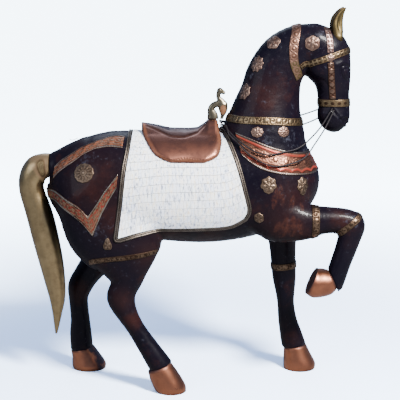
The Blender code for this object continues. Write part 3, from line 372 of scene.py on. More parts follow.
NEAR_HIND_END = (-97, -79, 60, 0.39, -0.92, 45)
FAR_HIND_END = (-296, 79, 52, 0.20, -0.98, 45)
FAR_FORE_END = (238, 78, 59, 0.144, -0.99, 45)
RAISED_FORE_END = (311, -72, 273, -0.91, -0.41, 58)
RAISED_FORE_TIP = (329, -72, 250, 0.30, -0.95, 45)
DOCK_END = (-353, 0, 531, -1.0, 0.0, 40)
FLAT_ENDS = [NEAR_HIND_END, FAR_HIND_END, FAR_FORE_END, RAISED_FORE_END, RAISED_FORE_TIP, DOCK_END]
BODY_STEP = 0.0045


def segment_distance(axes, start, end):
    """About how far each grid point lies outside the mass between two stations, an ellipse in section."""
    x, y, z = [a - c for a, c in zip(axes, start)]
    along = end[:3] - start[:3]
    length = np.linalg.norm(along)
    along = along / length
    normal = np.array([along[2], 0.0, -along[0]]) / np.hypot(along[0], along[2])
    across = np.cross(along, normal)
    travel = x * along[0] + y * along[1] + z * along[2]
    share = np.clip(travel / length, 0, 1)
    depth = start[3] + (end[3] - start[3]) * share
    width = start[4] + (end[4] - start[4]) * share
    cap = np.minimum(depth, width)
    u = (x * normal[0] + z * normal[2]) / depth
    v = (x * across[0] + y * across[1] + z * across[2]) / width
    w = (travel - share * length) / cap
    ring = np.sqrt(u * u + v * v + w * w)
    slope = np.sqrt((u / depth) ** 2 + (v / width) ** 2 + (w / cap) ** 2)
    return np.where(ring > 1e-6, ring * (ring - 1) / np.maximum(slope, 1e-9), -cap)


def blended(a, b, radius):
    """The union of two distances, with a fillet of about that radius between them."""
    h = np.maximum(radius - np.abs(a - b), 0) / radius
    return np.minimum(a, b) - h * h * radius * 0.25


def carve(masses, flat_ends, step):
    """The blended distance of all masses on a grid with its flat ends cut, and the grid's lowest corner."""
    masses = [(fillet * SHARE, smooth_stations(rows) * SHARE) for fillet, rows in masses]
    most = max(fillet for fillet, _ in masses)
    margin = most + 2 * step
    rows = np.vstack([r for _, r in masses])
    reach = rows[:, 3:].max(1)[:, None] + margin
    lowest = (rows[:, :3] - reach).min(0)
    count = np.ceil(((rows[:, :3] + reach).max(0) - lowest) / step).astype(int) + 1

    def window(box_low, box_high):
        first = np.maximum(np.floor((box_low - lowest) / step).astype(int), 0)
        last = np.minimum(np.ceil((box_high - lowest) / step).astype(int) + 1, count)
        lines = [lowest[i] + step * np.arange(first[i], last[i]) for i in range(3)]
        axes = np.meshgrid(*lines, indexing="ij", sparse=True)
        return tuple(slice(f, l) for f, l in zip(first, last)), axes

    far = 2 * most
    field = np.full(count, far)
    for fillet, stations in masses:
        mass = np.full(count, far)
        for start, end in zip(stations, stations[1:]):
            near = max(start[3:].max(), end[3:].max()) + margin
            place, axes = window(np.minimum(start[:3], end[:3]) - near, np.maximum(start[:3], end[:3]) + near)
            mass[place] = np.minimum(mass[place], segment_distance(axes, start, end))
        field = blended(field, mass, fillet)
    for x, y, z, out_x, out_z, round_about in flat_ends:
        outward = np.array([out_x, 0, out_z]) / np.hypot(out_x, out_z)
        centre = np.array([x, y, z]) * SHARE
        middle = centre + outward * round_about * SHARE / 2
        wide = round_about * SHARE * 1.4
        place, (gx, gy, gz) = window(middle - wide, middle + wide)
        beyond = (gx - centre[0]) * outward[0] + (gz - centre[2]) * outward[2]
        aside = np.abs((gx - centre[0]) * -outward[2] + (gz - centre[2]) * outward[0])
        about = (np.maximum(beyond, aside) < round_about * SHARE) & (np.abs(gy - centre[1]) < wide)
        field[place] = np.where(about, np.maximum(field[place], beyond), field[place])
    return field, lowest


def untangled(field):
    """The field with no grid face whose corners are in and out by turns, which would pinch the skin."""
    field = field.copy()
    for _ in range(3):
        for axis in range(3):
            f = np.moveaxis(field, axis, 0)
            deep, wide = f.shape[1] - 1, f.shape[2] - 1
            a, b, c, d = [f[:, i:deep + i, j:wide + j] < 0 for i in (0, 1) for j in (0, 1)]
            for i, j, k in np.argwhere((a == d) & (b == c) & (a != b)):
                near_corners = [(i, j, k), (i, j + 1, k), (i, j, k + 1), (i, j + 1, k + 1)]
                least = min(near_corners, key=lambda place: abs(f[place]))
                f[least] = 1e-9 if f[least] < 0 else -1e-9
    return field


def skin(field, lowest, step):
    """A closed quad mesh over the field's zero surface: one vertex in each cell that the surface crosses."""
    field = untangled(field)
    inside = field < 0
    total = np.zeros([n - 1 for n in field.shape] + [3])
    hits = np.zeros([n - 1 for n in field.shape])
    crossed = []
    for axis in range(3):
        near = [slice(None)] * 3
        far = [slice(None)] * 3
        near[axis], far[axis] = slice(None, -1), slice(1, None)
        a, b = field[tuple(near)], field[tuple(far)]
        cut = inside[tuple(near)] != inside[tuple(far)]
        crossed.append(cut)
        edge_places = np.argwhere(cut)
        share = a[cut] / (a[cut] - b[cut])
        hit = edge_places.astype(float)
        hit[:, axis] += share
        others = [i for i in range(3) if i != axis]
        for di in (0, 1):
            for dj in (0, 1):
                cell = edge_places.copy()
                cell[:, others[0]] -= di
                cell[:, others[1]] -= dj
                ok = ((cell >= 0) & (cell < total.shape[:3])).all(1)
                where = tuple(cell[ok].T)
                np.add.at(total, where, hit[ok])
                np.add.at(hits, where, 1)
    used = hits > 0
    index = np.full(used.shape, -1)
    index[used] = np.arange(used.sum())
    verts = total[used] / hits[used][:, None] * step + lowest
    quads = []
    for axis in range(3):
        cell = np.argwhere(crossed[axis])
        others = [(axis + 1) % 3, (axis + 2) % 3]
        ring = []
        for di, dj in ((0, 0), (1, 0), (1, 1), (0, 1)):
            c = cell.copy()
            c[:, others[0]] -= di
            c[:, others[1]] -= dj
            ring.append(index[c[:, 0], c[:, 1], c[:, 2]])
        quad = np.stack(ring, axis=-1)
        outward = inside[tuple(cell.T)]
        quad[~outward] = quad[~outward][:, ::-1]
        quads.append(quad)
    return verts, np.vstack(quads)


def settle(verts, field, lowest, step, rounds=3):
    """Moves vertices onto the zero surface, read linearly between the grid's points."""
    for _ in range(rounds):
        place = (verts - lowest) / step
        base = np.clip(np.floor(place).astype(int), 0, np.array(field.shape) - 2)
        x, y, z = (place - base).T
        c = {(i, j, k): field[base[:, 0] + i, base[:, 1] + j, base[:, 2] + k]
             for i in (0, 1) for j in (0, 1) for k in (0, 1)}
        edge = {(j, k): c[0, j, k] + (c[1, j, k] - c[0, j, k]) * x for j in (0, 1) for k in (0, 1)}
        rise = {(j, k): c[1, j, k] - c[0, j, k] for j in (0, 1) for k in (0, 1)}
        low_side = edge[0, 0] + (edge[1, 0] - edge[0, 0]) * y
        high_side = edge[0, 1] + (edge[1, 1] - edge[0, 1]) * y
        value = low_side + (high_side - low_side) * z
        slope_y = (edge[1, 0] - edge[0, 0]) * (1 - z) + (edge[1, 1] - edge[0, 1]) * z
        slope_x = (rise[0, 0] * (1 - y) + rise[1, 0] * y) * (1 - z)
        slope_x += (rise[0, 1] * (1 - y) + rise[1, 1] * y) * z
        gradient = np.stack([slope_x, slope_y, high_side - low_side], axis=-1) / step
        verts = verts - gradient * (value / np.maximum((gradient**2).sum(1), 1e-6))[:, None]
    return verts


def new_object(name, verts, faces, material):
    """A smooth-shaded piece from places in metres."""
    mesh = bpy.data.meshes.new(name)
    verts = np.asarray(verts, float)
    mesh.from_pydata(verts.tolist(), [], faces.tolist() if isinstance(faces, np.ndarray) else faces)
    mesh.validate()
    mesh.polygons.foreach_set("use_smooth", [True] * len(mesh.polygons))
    obj = bpy.data.objects.new(name, mesh)
    bpy.context.scene.collection.objects.link(obj)
    obj.data.materials.append(material)
    return obj


def vertex_mask(obj, name, values):
    attribute = obj.data.attributes.new(name, "FLOAT", "POINT")
    attribute.data.foreach_set("value", np.asarray(values, np.float32).ravel())


EYE = (335, 31, 751)
EYE_AXIS = (0.42, -0.91)
EYE_HALF_LENGTH = 11.5
EYE_HALF_HEIGHT = 6.5
EYE_APART = 10
BROW = [(313, 771), (326, 776), (340, 770)]
NOSTRIL = (339, 21, 643)
NOSTRIL_AXIS = (0.55, -0.83)
NOSTRIL_APART = 6
MOUTH = [(305, 667), (314, 656), (324, 646), (334, 637), (343, 630)]
CHEEK = [(262, 742), (284, 734), (303, 712)]
FINE_HEAD = ((262, 605), (370, 812))
FINE_CHEST = ((95, 345), (300, 520))


def held(values):
    """The values, none below 0 and none above 1."""
    return np.clip(values, 0, 1)


def bell(values, middle, width):
    """One where a value is in the middle, falling away to nothing on both sides."""
    return np.exp(-(((values - middle) / width) ** 2))


def near_line(x, z, line):
    """How far each place lies from a line of places in the side view."""
    best = np.full(x.shape, 1e9)
    for (x0, z0), (x1, z1) in zip(line, line[1:]):
        dx, dz = x1 - x0, z1 - z0
        t = held(((x - x0) * dx + (z - z0) * dz) / (dx * dx + dz * dz))
        best = np.minimum(best, np.hypot(x - x0 - t * dx, z - z0 - t * dz))
    return best


def turned_to(x, z, middle, axis):
    """Distances along and across an axis from a middle in the side view."""
    dx, dz = x - middle[0], z - middle[2]
    return dx * axis[0] + dz * axis[1], dz * axis[0] - dx * axis[1]


def face_carving(p):
    """How far the carver raised or cut the head's surface at each place of the drawing, in millimetres."""
    x, y, z = p.T
    u, v = turned_to(x, z, EYE, EYE_AXIS)
    lens = np.hypot(u / EYE_HALF_LENGTH, v / EYE_HALF_HEIGHT)
    lids = 1.9 * bell(lens, 1.22, 0.17) - 1.2 * bell(lens, 1.0, 0.08)
    eye = 3.2 * held(1 - lens**2) ** 0.5 + lids - 2.4 * bell(lens, 1.75, 0.30)
    eye += 3.0 * bell(near_line(x, z, BROW), 0, 6.5)
    u, v = turned_to(x, z, NOSTRIL, NOSTRIL_AXIS)
    hole = np.hypot(u / 9.0, (v + 0.04 * u * u) / 4.0)
    nostril = 1.8 * bell(hole, 1.5, 0.35) - 4.5 * np.exp(-(hole**2) * 1.1)
    mouth = near_line(x, z, MOUTH)
    lips = 0.8 * bell(mouth, 5.0, 2.5) - 2.6 * bell(mouth, 0, 1.9)
    side = np.abs(y)
    return (side > EYE_APART) * eye + (side > NOSTRIL_APART) * nostril + lips - 0.7 * bell(
        near_line(x, z, CHEEK), 0, 4.0)


LEAVES = [
    ((184, 376), (201, 430), 13), ((210, 378), (213, 434), 13), ((234, 386), (223, 428), 9),
    ((170, 392), (184, 420), 7), ((206, 440), (214, 480), 7), ((166, 448), (176, 500), 9),
    ((189, 452), (183, 506), 8), ((236, 440), (231, 462), 5), ((186, 366), (224, 372), 4),
]
WARM_PLACES = [
    ((-235, 505), 75), ((-190, 430), 60), ((-60, 395), 60), ((-186, 228), 34), ((-160, 180), 26),
    ((150, 700), 44), ((214, 470), 46), ((195, 410), 70), ((-300, 210), 26), ((20, 375), 40),
    ((322, 420), 30), ((-120, 340), 40),
]
# Places on the lacquer given bluish-grey dust specks together with a painted sheen: round the foot of the
# neck above the collar, on the rump and haunch, the raised forearm, the poll and the neck
DUST_AND_SHEEN_PLACES = [
    ((205, 600), 26), ((150, 612), 24), ((250, 560), 26), ((-258, 560), 30), ((-236, 400), 30),
    ((345, 420), 24), ((268, 834), 24), ((110, 740), 26),
]


def chest_painting(p):
    """Where the leaf spray is painted on each shoulder, from 0 to 1."""
    x, y, z = p.T
    mask = np.zeros(len(p))
    for (x0, z0), (x1, z1), half in LEAVES:
        dx, dz = x1 - x0, z1 - z0
        length = np.hypot(dx, dz)
        along = ((x - x0) * dx + (z - z0) * dz) / length
        aside = (-(x - x0) * dz + (z - z0) * dx) / length
        body = half * np.sin(np.pi * held(along / length)) ** 0.6
        inside = (1 - np.abs(aside) / np.maximum(body, 0.1)) * ((along > 0) & (along < length))
        rib = bell(np.abs(aside), 0, 1.2) * 0.5
        mask = np.maximum(mask, held(inside * 2.0) - rib * (inside > 0))
    return held(mask) * (np.abs(y) > 40)


def near_places(p, places):
    """How near each place is to any of the named ones in the side view, from 0 to 1."""
    return np.max([bell(np.hypot(p[:, 0] - x, p[:, 2] - z), 0, reach) for (x, z), reach in places], axis=0)


def refined(obj, box, times):
    """Splits the faces whose middle lies in a box of the side view."""
    (x0, z0), (x1, z1) = box
    for _ in range(times):
        work = bmesh.new()
        work.from_mesh(obj.data)
        chosen = set()
        for face in work.faces:
            middle = (np.array(face.calc_center_median()) - SHIFT) / SHARE
            if x0 < middle[0] < x1 and z0 < middle[2] < z1:
                chosen.update(face.edges)
        bmesh.ops.subdivide_edges(work, edges=list(chosen), cuts=1, use_grid_fill=True)
        bmesh.ops.triangulate(work, faces=[f for f in work.faces if len(f.verts) > 4])
        work.to_mesh(obj.data)
        work.free()


def vertex_rows(obj, kind="co"):
    """The piece's places in metres, or its normals, one row for each vertex."""
    rows = np.zeros(len(obj.data.vertices) * 3)
    obj.data.vertices.foreach_get(kind, rows)
    return rows.reshape(-1, 3)


def set_verts(obj, places):
    obj.data.vertices.foreach_set("co", np.asarray(places, np.float32).ravel())
    obj.data.update()


lacquer, lacquer_tree, lacquer_shader = new_material("near_black_lacquer", (0.03, 0.02, 0.02), 0.3)
field, lowest = carve(BODY_MASSES, FLAT_ENDS, BODY_STEP)
verts, quads = skin(field, lowest, BODY_STEP)
body = new_object("carved_body", settle(verts, field, lowest, BODY_STEP) + SHIFT, quads, lacquer)
refined(body, FINE_HEAD, 1)
refined(body, FINE_CHEST, 1)
set_verts(body, settle(vertex_rows(body) - SHIFT, field, lowest, BODY_STEP, 1) + SHIFT)
body.data.update()
places = vertex_rows(body)
drawn = (places - SHIFT) / SHARE
in_head = (drawn[:, 0] > FINE_HEAD[0][0]) & (drawn[:, 2] > FINE_HEAD[0][1])
lift = np.where(in_head, face_carving(drawn), 0) * SHARE
set_verts(body, places + vertex_rows(body, "normal") * lift[:, None])
vertex_mask(body, "painted", chest_painting(drawn))
vertex_mask(body, "warm", near_places(drawn, WARM_PLACES))
vertex_mask(body, "dust_and_sheen", near_places(drawn, DUST_AND_SHEEN_PLACES))
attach(body, "root")
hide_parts("horse_body")


def group_of(name, inputs, outputs):
    """An empty node group with its sockets: names with a kind and a value for each input."""
    group = bpy.data.node_groups.new(name, "ShaderNodeTree")
    for label, kind, value in inputs:
        group.interface.new_socket(label, in_out="INPUT", socket_type=kind).default_value = value
    for label, kind in outputs:
        group.interface.new_socket(label, in_out="OUTPUT", socket_type=kind)
    return group, group.nodes.new("NodeGroupInput").outputs, group.nodes.new("NodeGroupOutput").inputs


def mask_of(source, low, high, least=0.0, most=1.0):
    """A grey ramp over a value, from the least at its low end to the most at its high end."""
    return steps_of(source, (low, (least, least, least)), (high, (most, most, most)))


def combined(way, first, second, clamp=False):
    """The sum, product or difference of two values. Either may be a socket."""
    tree = (first if is_socket(first) else second).id_data
    node = tree.nodes.new("ShaderNodeMath")
    node.operation = way
    node.use_clamp = clamp
    for socket, value in zip(node.inputs, (first, second)):
        if is_socket(value):
            link(value, socket)
        else:
            socket.default_value = value
    return node.outputs[0]


def product(first, second, clamp=False):
    return combined("MULTIPLY", first, second, clamp)


def attribute_of(tree, name):
    node = tree.nodes.new("ShaderNodeAttribute")
    node.attribute_name = name
    return node.outputs["Fac"]


def bumped(shader, height, strength, distance):
    node = shader.id_data.nodes.new("ShaderNodeBump")
    node.inputs["Strength"].default_value = strength
    node.inputs["Distance"].default_value = distance
    link(height, node.inputs["Height"])
    link(node.outputs["Normal"], shader.inputs["Normal"])


TONE = "NodeSocketColor"
VALUE = "NodeSocketFloat"
NIGHT_BLACK = (0.0017, 0.0014, 0.0040)
PLUM_BLACK = (0.0034, 0.0022, 0.0050)
PLUM = (0.0082, 0.0036, 0.0052)
MAROON = (0.0135, 0.0050, 0.0046)
UNDER_RED = (0.019, 0.0058, 0.0050)
# A bluish grey that stands for dust and for a painted sheen on the lacquer
DUST_AND_SHEEN = (0.040, 0.042, 0.058)
FLECK_BROWN = (0.050, 0.034, 0.030)
LEAF_RED = (0.036, 0.0125, 0.0085)
WARM_GAIN = 0.13
MAROON_SHARE = 0.65
DUST_AND_SHEEN_GAIN = 0.10

lacquer_place = object_place(lacquer_tree)
scuff_and_sheen_noise = noise(lacquer_place, 95, 8, 0.72)
warm = attribute_of(lacquer_tree, "warm")
tone = steps_of(noise(lacquer_place, 9, 6, 0.62), (0.32, NIGHT_BLACK), (0.55, PLUM_BLACK), (0.75, PLUM))
tone = mixed(product(warm, MAROON_SHARE), tone, MAROON)
red_share = combined("ADD", noise(lacquer_place, 14, 9, 0.70), product(warm, WARM_GAIN))
tone = mixed(mask_of(red_share, 0.56, 0.80), tone, UNDER_RED)
# Bluish-grey specks of dust and painted sheen, over the scuffs and thicker at the named places
dust_and_sheen_share = combined("ADD", scuff_and_sheen_noise, product(attribute_of(lacquer_tree, "dust_and_sheen"), DUST_AND_SHEEN_GAIN))
tone = mixed(mask_of(dust_and_sheen_share, 0.60, 0.78, most=0.75), tone, DUST_AND_SHEEN)
tone = mixed(mask_of(noise(lacquer_place, 260, 4, 0.6), 0.68, 0.76, most=0.6), tone, FLECK_BROWN)
leaf_grain = mask_of(noise(lacquer_place, 75, 6, 0.75), 0.40, 0.62, most=0.9)
tone = mixed(product(attribute_of(lacquer_tree, "painted"), leaf_grain), tone, LEAF_RED)
link(tone, lacquer_shader.inputs["Base Color"])
link(mask_of(scuff_and_sheen_noise, 0.3, 0.72, 0.24, 0.58), lacquer_shader.inputs["Roughness"])
lacquer_shader.inputs["Coat Weight"].default_value = 0.05
lacquer_shader.inputs["Coat Roughness"].default_value = 0.06
lacquer_shader.inputs["Specular IOR Level"].default_value = 0.055
bumped(lacquer_shader, combined("ADD", noise(lacquer_place, 28, 7, 0.6), product(scuff_and_sheen_noise, 0.35)), 0.55, 0.0018)

# Aged sheet metal, which the hooves, the tail, the ears and all the tack share: bright where it is raised,
# tarnished in its hollows, and painted with enamel or plated with pewter where a piece says so. On the
# saddle's seat the pewter colour is a painted shade.
aged_metal, metal_in, metal_out = group_of("aged_metal", [
    ("Metal", TONE, (0.5, 0.4, 0.2, 1)),
    ("Tarnish", TONE, (0.1, 0.07, 0.04, 1)),
    ("Raised", VALUE, 1.0),
    ("Grain Scale", VALUE, 60.0),
    ("Tarnish Share", VALUE, 0.5),
    ("Enamel", VALUE, 0.0),
    ("Enamel Colour", TONE, (0.5, 0.05, 0.03, 1)),
    ("Pewter", VALUE, 0.0),
    ("Pewter Colour", TONE, (0.2, 0.19, 0.17, 1)),
], [("Colour", TONE), ("Roughness", VALUE), ("Metalness", VALUE), ("Height", VALUE)])
metal_place = object_place(aged_metal)
fine = noise(metal_place, metal_in["Grain Scale"], 6, 0.65)
blot = mask_of(noise(metal_place, 11, 5, 0.6), 0.38, 0.66)
dirt = product(combined("SUBTRACT", 1.0, metal_in["Raised"], True), 0.85)
spots = combined("ADD", product(mask_of(fine, 0.40, 0.66), 0.6), product(blot, 0.4))
dark_share = combined("ADD", dirt, product(spots, metal_in["Tarnish Share"]), True)
# Pewter plating, and on the saddle's seat painted shade, over the bare metal
plated_and_shaded = mixed(metal_in["Pewter"], metal_in["Metal"], metal_in["Pewter Colour"])
worn_and_shaded = mixed(dark_share, plated_and_shaded, metal_in["Tarnish"])
painted_share = product(metal_in["Enamel"], mask_of(fine, 0.30, 0.5, 0.35))
link(mixed(painted_share, worn_and_shaded, metal_in["Enamel Colour"]), metal_out["Colour"])
link(combined("ADD", product(dark_share, 0.30), 0.27), metal_out["Roughness"])
link(combined("SUBTRACT", 1.0, product(painted_share, 0.75)), metal_out["Metalness"])
link(fine, metal_out["Height"])


def metal_finish(name, metal, tarnish, grain=60.0, share=0.5, enamel=None, bump=0.3, distance=0.0006,
                 pewter=(0.20, 0.19, 0.17)):
    """An aged sheet metal, dark in the hollows of its raised work and enamelled where a piece says so."""
    material, tree, shader = new_material(name, metal, 0.4, 1.0)
    node = tree.nodes.new("ShaderNodeGroup")
    node.node_tree = aged_metal
    node.inputs["Metal"].default_value = (*metal, 1)
    node.inputs["Tarnish"].default_value = (*tarnish, 1)
    node.inputs["Grain Scale"].default_value = grain
    node.inputs["Tarnish Share"].default_value = share
    link(attribute_of(tree, "raised"), node.inputs["Raised"])
    if enamel:
        share_of_two = attribute_of(tree, "enamel")
        link(product(share_of_two, 1.0, True), node.inputs["Enamel"])
        link(product(share_of_two, -1.0, True), node.inputs["Pewter"])
        node.inputs["Enamel Colour"].default_value = (*enamel, 1)
        node.inputs["Pewter Colour"].default_value = (*pewter, 1)
    link(node.outputs["Colour"], shader.inputs["Base Color"])
    link(node.outputs["Roughness"], shader.inputs["Roughness"])
    link(node.outputs["Metalness"], shader.inputs["Metallic"])
    shader.inputs["Specular IOR Level"].default_value = 0.2
    bumped(shader, node.outputs["Height"], bump, distance)
    return material


# Hooves
# Four hooves in thin hammered copper over wood, each fixed under the flat end of its leg. They carry no
# relief but small dents, and are darker at the top, where the leg's paint laps over them, and at the sole.
HOOVES = {
    "hoof_near_hind": [(-97, -79, 60, 29, 27, 23), (-86, -79, 38, 34, 31, 15), (-73, -79, 12, 38, 35, 4),
                       (-69, -79, 0, 36, 34, 0)],
    "hoof_far_hind": [(-296, 79, 52, 29, 27, 11), (-288, 79, 34, 34, 31, 8), (-280, 79, 11, 42, 37, 2),
                      (-279, 79, 0, 41, 36, 0)],
    "hoof_far_fore": [(238, 78, 59, 28, 27, 8), (243, 78, 38, 33, 32, 6), (250, 78, 12, 40, 37, 2),
                      (250, 78, 0, 39, 36, 0)],
    "hoof_raised_fore": [(310, -72, 272.5, 25, 26, -66), (297, -72, 267, 32, 31, -76),
                         (272, -72, 264, 35, 34, -100), (261, -72, 270, 33, 33, -115)],
}
HOOF_STEPS = 8
HOOF_SIDES = 48
HOOF_TUCK = 2.5
HOOF_TUCK_SHARE = 0.9
HOOF_RIM_SHARE = 0.05
FAR_HIND_PAINT_FROM = 0.50
SHARP_ANGLE = 0.9
copper_hoof = metal_finish("hammered_copper", (0.31, 0.118, 0.062), (0.075, 0.034, 0.027), 30, 0.55,
                           (0.010, 0.007, 0.012), bump=0.3, distance=0.0012)


def face_outward(obj, sharp=None):
    """Turns a piece's faces outward, and marks edges that bend more than the sharp angle."""
    work = bmesh.new()
    work.from_mesh(obj.data)
    bmesh.ops.recalc_face_normals(work, faces=work.faces)
    if sharp:
        for edge in work.edges:
            edge.smooth = edge.calc_face_angle(0) < sharp
    work.to_mesh(obj.data)
    work.free()


def turned(name, rows, material, sides, shaped=None):
    """A closed solid of elliptical sections: place x, y, z, half length, half width and slope."""
    angles = np.arange(sides) * 2 * np.pi / sides
    verts = []
    for k, (x, y, z, half_length, half_width, slope) in enumerate(rows):
        along = np.array([np.cos(np.radians(slope)), 0, np.sin(np.radians(slope))])
        scale = np.ones(sides) if shaped is None else shaped(k / (len(rows) - 1), angles)
        offsets = np.outer(np.cos(angles) * half_length * scale, along)
        offsets[:, 1] += np.sin(angles) * half_width * scale
        verts.append(np.array([x, y, z]) + offsets)
    verts = placed(np.vstack(verts))
    last = (len(rows) - 1) * sides
    verts = np.vstack([verts, [verts[:sides].mean(0), verts[last:].mean(0)]])
    foot, tip = len(verts) - 2, len(verts) - 1
    faces = []
    for i in range(sides):
        j = (i + 1) % sides
        faces += [(j, i, foot), (last + i, last + j, tip)]
        faces += [(k + i, k + j, k + sides + j, k + sides + i) for k in range(0, last, sides)]
    obj = new_object(name, verts, faces, material)
    face_outward(obj, SHARP_ANGLE)
    return obj


def along_and_around(rows, sides):
    """How far along a turned piece each vertex lies, from 0 to 1, and its angle round it."""
    share = np.append(np.repeat(np.linspace(0, 1, len(rows)), sides), [0, 1])
    return share, np.append(np.tile(np.arange(sides) * 2 * np.pi / sides, len(rows)), [0, 0])


for name, stations in HOOVES.items():
    rows = smooth_stations(stations, HOOF_STEPS)
    upward = rows[0] - rows[1]
    tuck = rows[0].copy()
    tuck[:3] += upward[:3] / np.linalg.norm(upward[:3]) * HOOF_TUCK
    tuck[3:5] *= HOOF_TUCK_SHARE
    rows = np.vstack([tuck, rows])
    rows[:, 3:5] *= 1 - HOOF_RIM_SHARE * held(1 - np.arange(len(rows)) / 2.0)[:, None]
    rows[:, 2] = np.maximum(rows[:, 2], 0)
    piece = turned("copper_" + name, rows, copper_hoof, HOOF_SIDES)
    share, around = along_and_around(rows, HOOF_SIDES)
    painted = held((np.cos(around) - FAR_HIND_PAINT_FROM) * 8) * (name == "hoof_far_hind")
    lip = held(1.3 - share * 12) * (0.35 + 0.65 * np.abs(np.cos(around)))
    vertex_mask(piece, "raised", held(share * 9) * np.clip((1 - share) * 7, 0.15, 1))
    vertex_mask(piece, "enamel", np.maximum(painted, lip * 0.8))
    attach(piece, "root")
    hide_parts(name)

# Tail
# A long wooden tail covered in thin brass sheet, fixed to the dock's flat end. It bends down at once, stays
# full to the middle and ends in a point. A copper collar with a stamped oval covers the joint.
TAIL = [
    (-354.5, 0, 532, 28, 26, -90), (-368, 0, 529, 31, 27, -82), (-386, 0, 519, 34, 28, -58),
    (-398, 0, 497, 31, 27, -25), (-398, 0, 470, 30, 26, 0), (-388, 0, 435, 31, 27, 14),
    (-378.5, 0, 399, 32, 28, 14), (-368, 0, 350, 31.5, 27, 13), (-357, 0, 296, 29, 25, 12),
    (-349, 0, 245, 24.5, 21, 8), (-345, 0, 205, 19, 17, 2), (-346, 0, 170, 12, 11, -2),
    (-348, 0, 140, 7, 6.5, -3), (-350, 0, 116, 2.5, 2.5, -3),
]
TAIL_STEPS = 10
TAIL_SIDES = 64
COPPER_CAP_SHARE = 0.16
OVAL_AT = 0.085
LOCKS = 11
LOCKS_FROM = 0.2
LOCK_DEPTH = 0.008
tail_brass = metal_finish("tail_brass", (0.30, 0.215, 0.108), (0.080, 0.052, 0.027), 38, 0.6,
                          (0.12, 0.062, 0.040), bump=0.35, distance=0.0014)
rows = smooth_stations(TAIL, TAIL_STEPS)


def tail_locks(share, angles):
    """Shallow grooves for the hair, fading in below the bend."""
    depth = LOCK_DEPTH * held((share - LOCKS_FROM) * 4)
    return 1 - depth * (0.5 + 0.5 * np.cos(angles * LOCKS + share * 5))


tail = turned("brass_tail", rows, tail_brass, TAIL_SIDES, tail_locks)
share, around = along_and_around(rows, TAIL_SIDES)
groove = 0.5 + 0.5 * np.cos(around * LOCKS + share * 5)
raised = 1 - 0.10 * groove * held((share - LOCKS_FROM) * 4)
cap = held((COPPER_CAP_SHARE - share) * 60)
oval = np.hypot((share - OVAL_AT) / 0.035, (np.abs(np.sin(around)) - 1) / 0.22)
stamped = 1 - 0.8 * bell(oval, 1, 0.3) - 0.5 * (oval < 1) * (np.cos(oval * 14) > 0)
vertex_mask(tail, "raised", held(np.where(cap > 0, stamped, raised)))
vertex_mask(tail, "enamel", cap * (oval > 1.1) * 0.45)
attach(tail, "root")
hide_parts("tail")

# Ears
# Two cupped brass ears, each raised from one sheet like a narrow leaf that opens sideways and forward, and
# let into the top of the head.
EAR_SIDE = 21
EAR = [
    (314, 0, 822, 12, 8, 0), (314.5, 0, 844, 13, 9.5, 0), (313.5, 0, 859, 13.5, 10, 0),
    (315, 0, 872, 12, 8, -10), (320, 0, 884, 8.5, 6, -22), (326, 0, 893, 5, 4, -32),
    (332, 0, 899, 1.5, 1.5, -40),
]
EAR_STEPS = 8
EAR_SIDES = 40
EAR_HOLLOW = 0.85
EAR_HOLLOW_FACES = 60
ear_brass = metal_finish("ear_brass", (0.17, 0.125, 0.052), (0.028, 0.019, 0.010), 45, bump=0.25)
body_surface = surface_of([body])
for side, side_name in ((-1, "right"), (1, "left")):
    rows = smooth_stations([(x, side * EAR_SIDE, z, a, b, slope) for x, _, z, a, b, slope in EAR], EAR_STEPS)
    facing = np.radians(side * EAR_HOLLOW_FACES)

    def cupped(share, angles):
        toward = np.maximum(np.cos(angles - facing), 0)
        return 1 - EAR_HOLLOW * np.sin(np.pi * held(share * 1.08 - 0.1)) ** 0.6 * toward**2.5

    ear = turned("cupped_ear_" + side_name, rows, ear_brass, EAR_SIDES, cupped)
    places = vertex_rows(ear)
    for i in range(EAR_SIDES):
        hit = body_surface.ray_cast(Vector((places[i][0], places[i][1], 2 * HEIGHT)), Vector((0, 0, -1)))[0]
        if hit:
            places[i][2] = hit[2]
    places[-2] = places[:EAR_SIDES].mean(0)
    set_verts(ear, places)
    share, around = along_and_around(rows, EAR_SIDES)
    inside = held(np.cos(around - facing)) ** 1.5
    vertex_mask(ear, "raised", np.clip(share * 8, 0.2, 1) * (0.10 + 0.90 * inside))
    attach(ear, "root")
    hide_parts("ear_" + side_name)

# Bridle and neck band
# Straps of thin embossed sheet metal nailed over the carving: a pink copper band over the poll, a brass brow
# band, brass and copper cheek pieces, a brass noseband and a brass band round the foot of the neck.
CROWN_ROUTE = [(231, -29, 738), (217, -42, 770), (213, -42, 797), (214, -40, 822), (219, -26, 845),
               (222, 0, 858)]
CROWN_WIDTH = 21
CROWN_BRASS_REACH = 48
BROW_ROUTE = [(232, -33, 764), (257, -38, 775), (276, -42, 781), (296, -42, 788), (320, -37, 796),
              (337, -22, 801), (345, 0, 803)]
BROW_WIDTH = 15
UPPER_CHEEK_ROUTE = [
    (288, -13, 850), (291, -24, 843), (294, -33, 829), (296, -41, 810), (297, -43, 799),
]
LOWER_CHEEK_ROUTE = [(297, -43, 776), (299, -42, 760), (301, -37, 738), (304, -29, 712), (306, -26, 692)]
CHEEK_WIDTH = 15
NOSEBAND_ROUTE = [(275, 0, 681), (281, -14, 681), (296, -27, 681), (312, -27, 681), (330, -24, 681),
                  (344, -13, 681), (349, 0, 681)]
NOSEBAND_WIDTH = 17
NECK_BAND_ROUTE = [(64, 0, 647), (71, -25, 646), (92, -50, 646), (125, -64, 646), (165, -66, 645),
                   (205, -52, 641), (230, -26, 638), (237, 0, 637)]
NECK_BAND_WIDTH = 18
LEAF_PITCH = 11.0
BOSS_PITCH = 16.5
OVAL_PITCH = 15.0
SHEET_THICKNESS = 0.0008
SHEET_LIFT = 0.0003
UNDER_LIFT = 0.0001
SHEET_STEP = 1.3


def mirrored(route):
    return [(x, -y, z) for x, y, z in route]


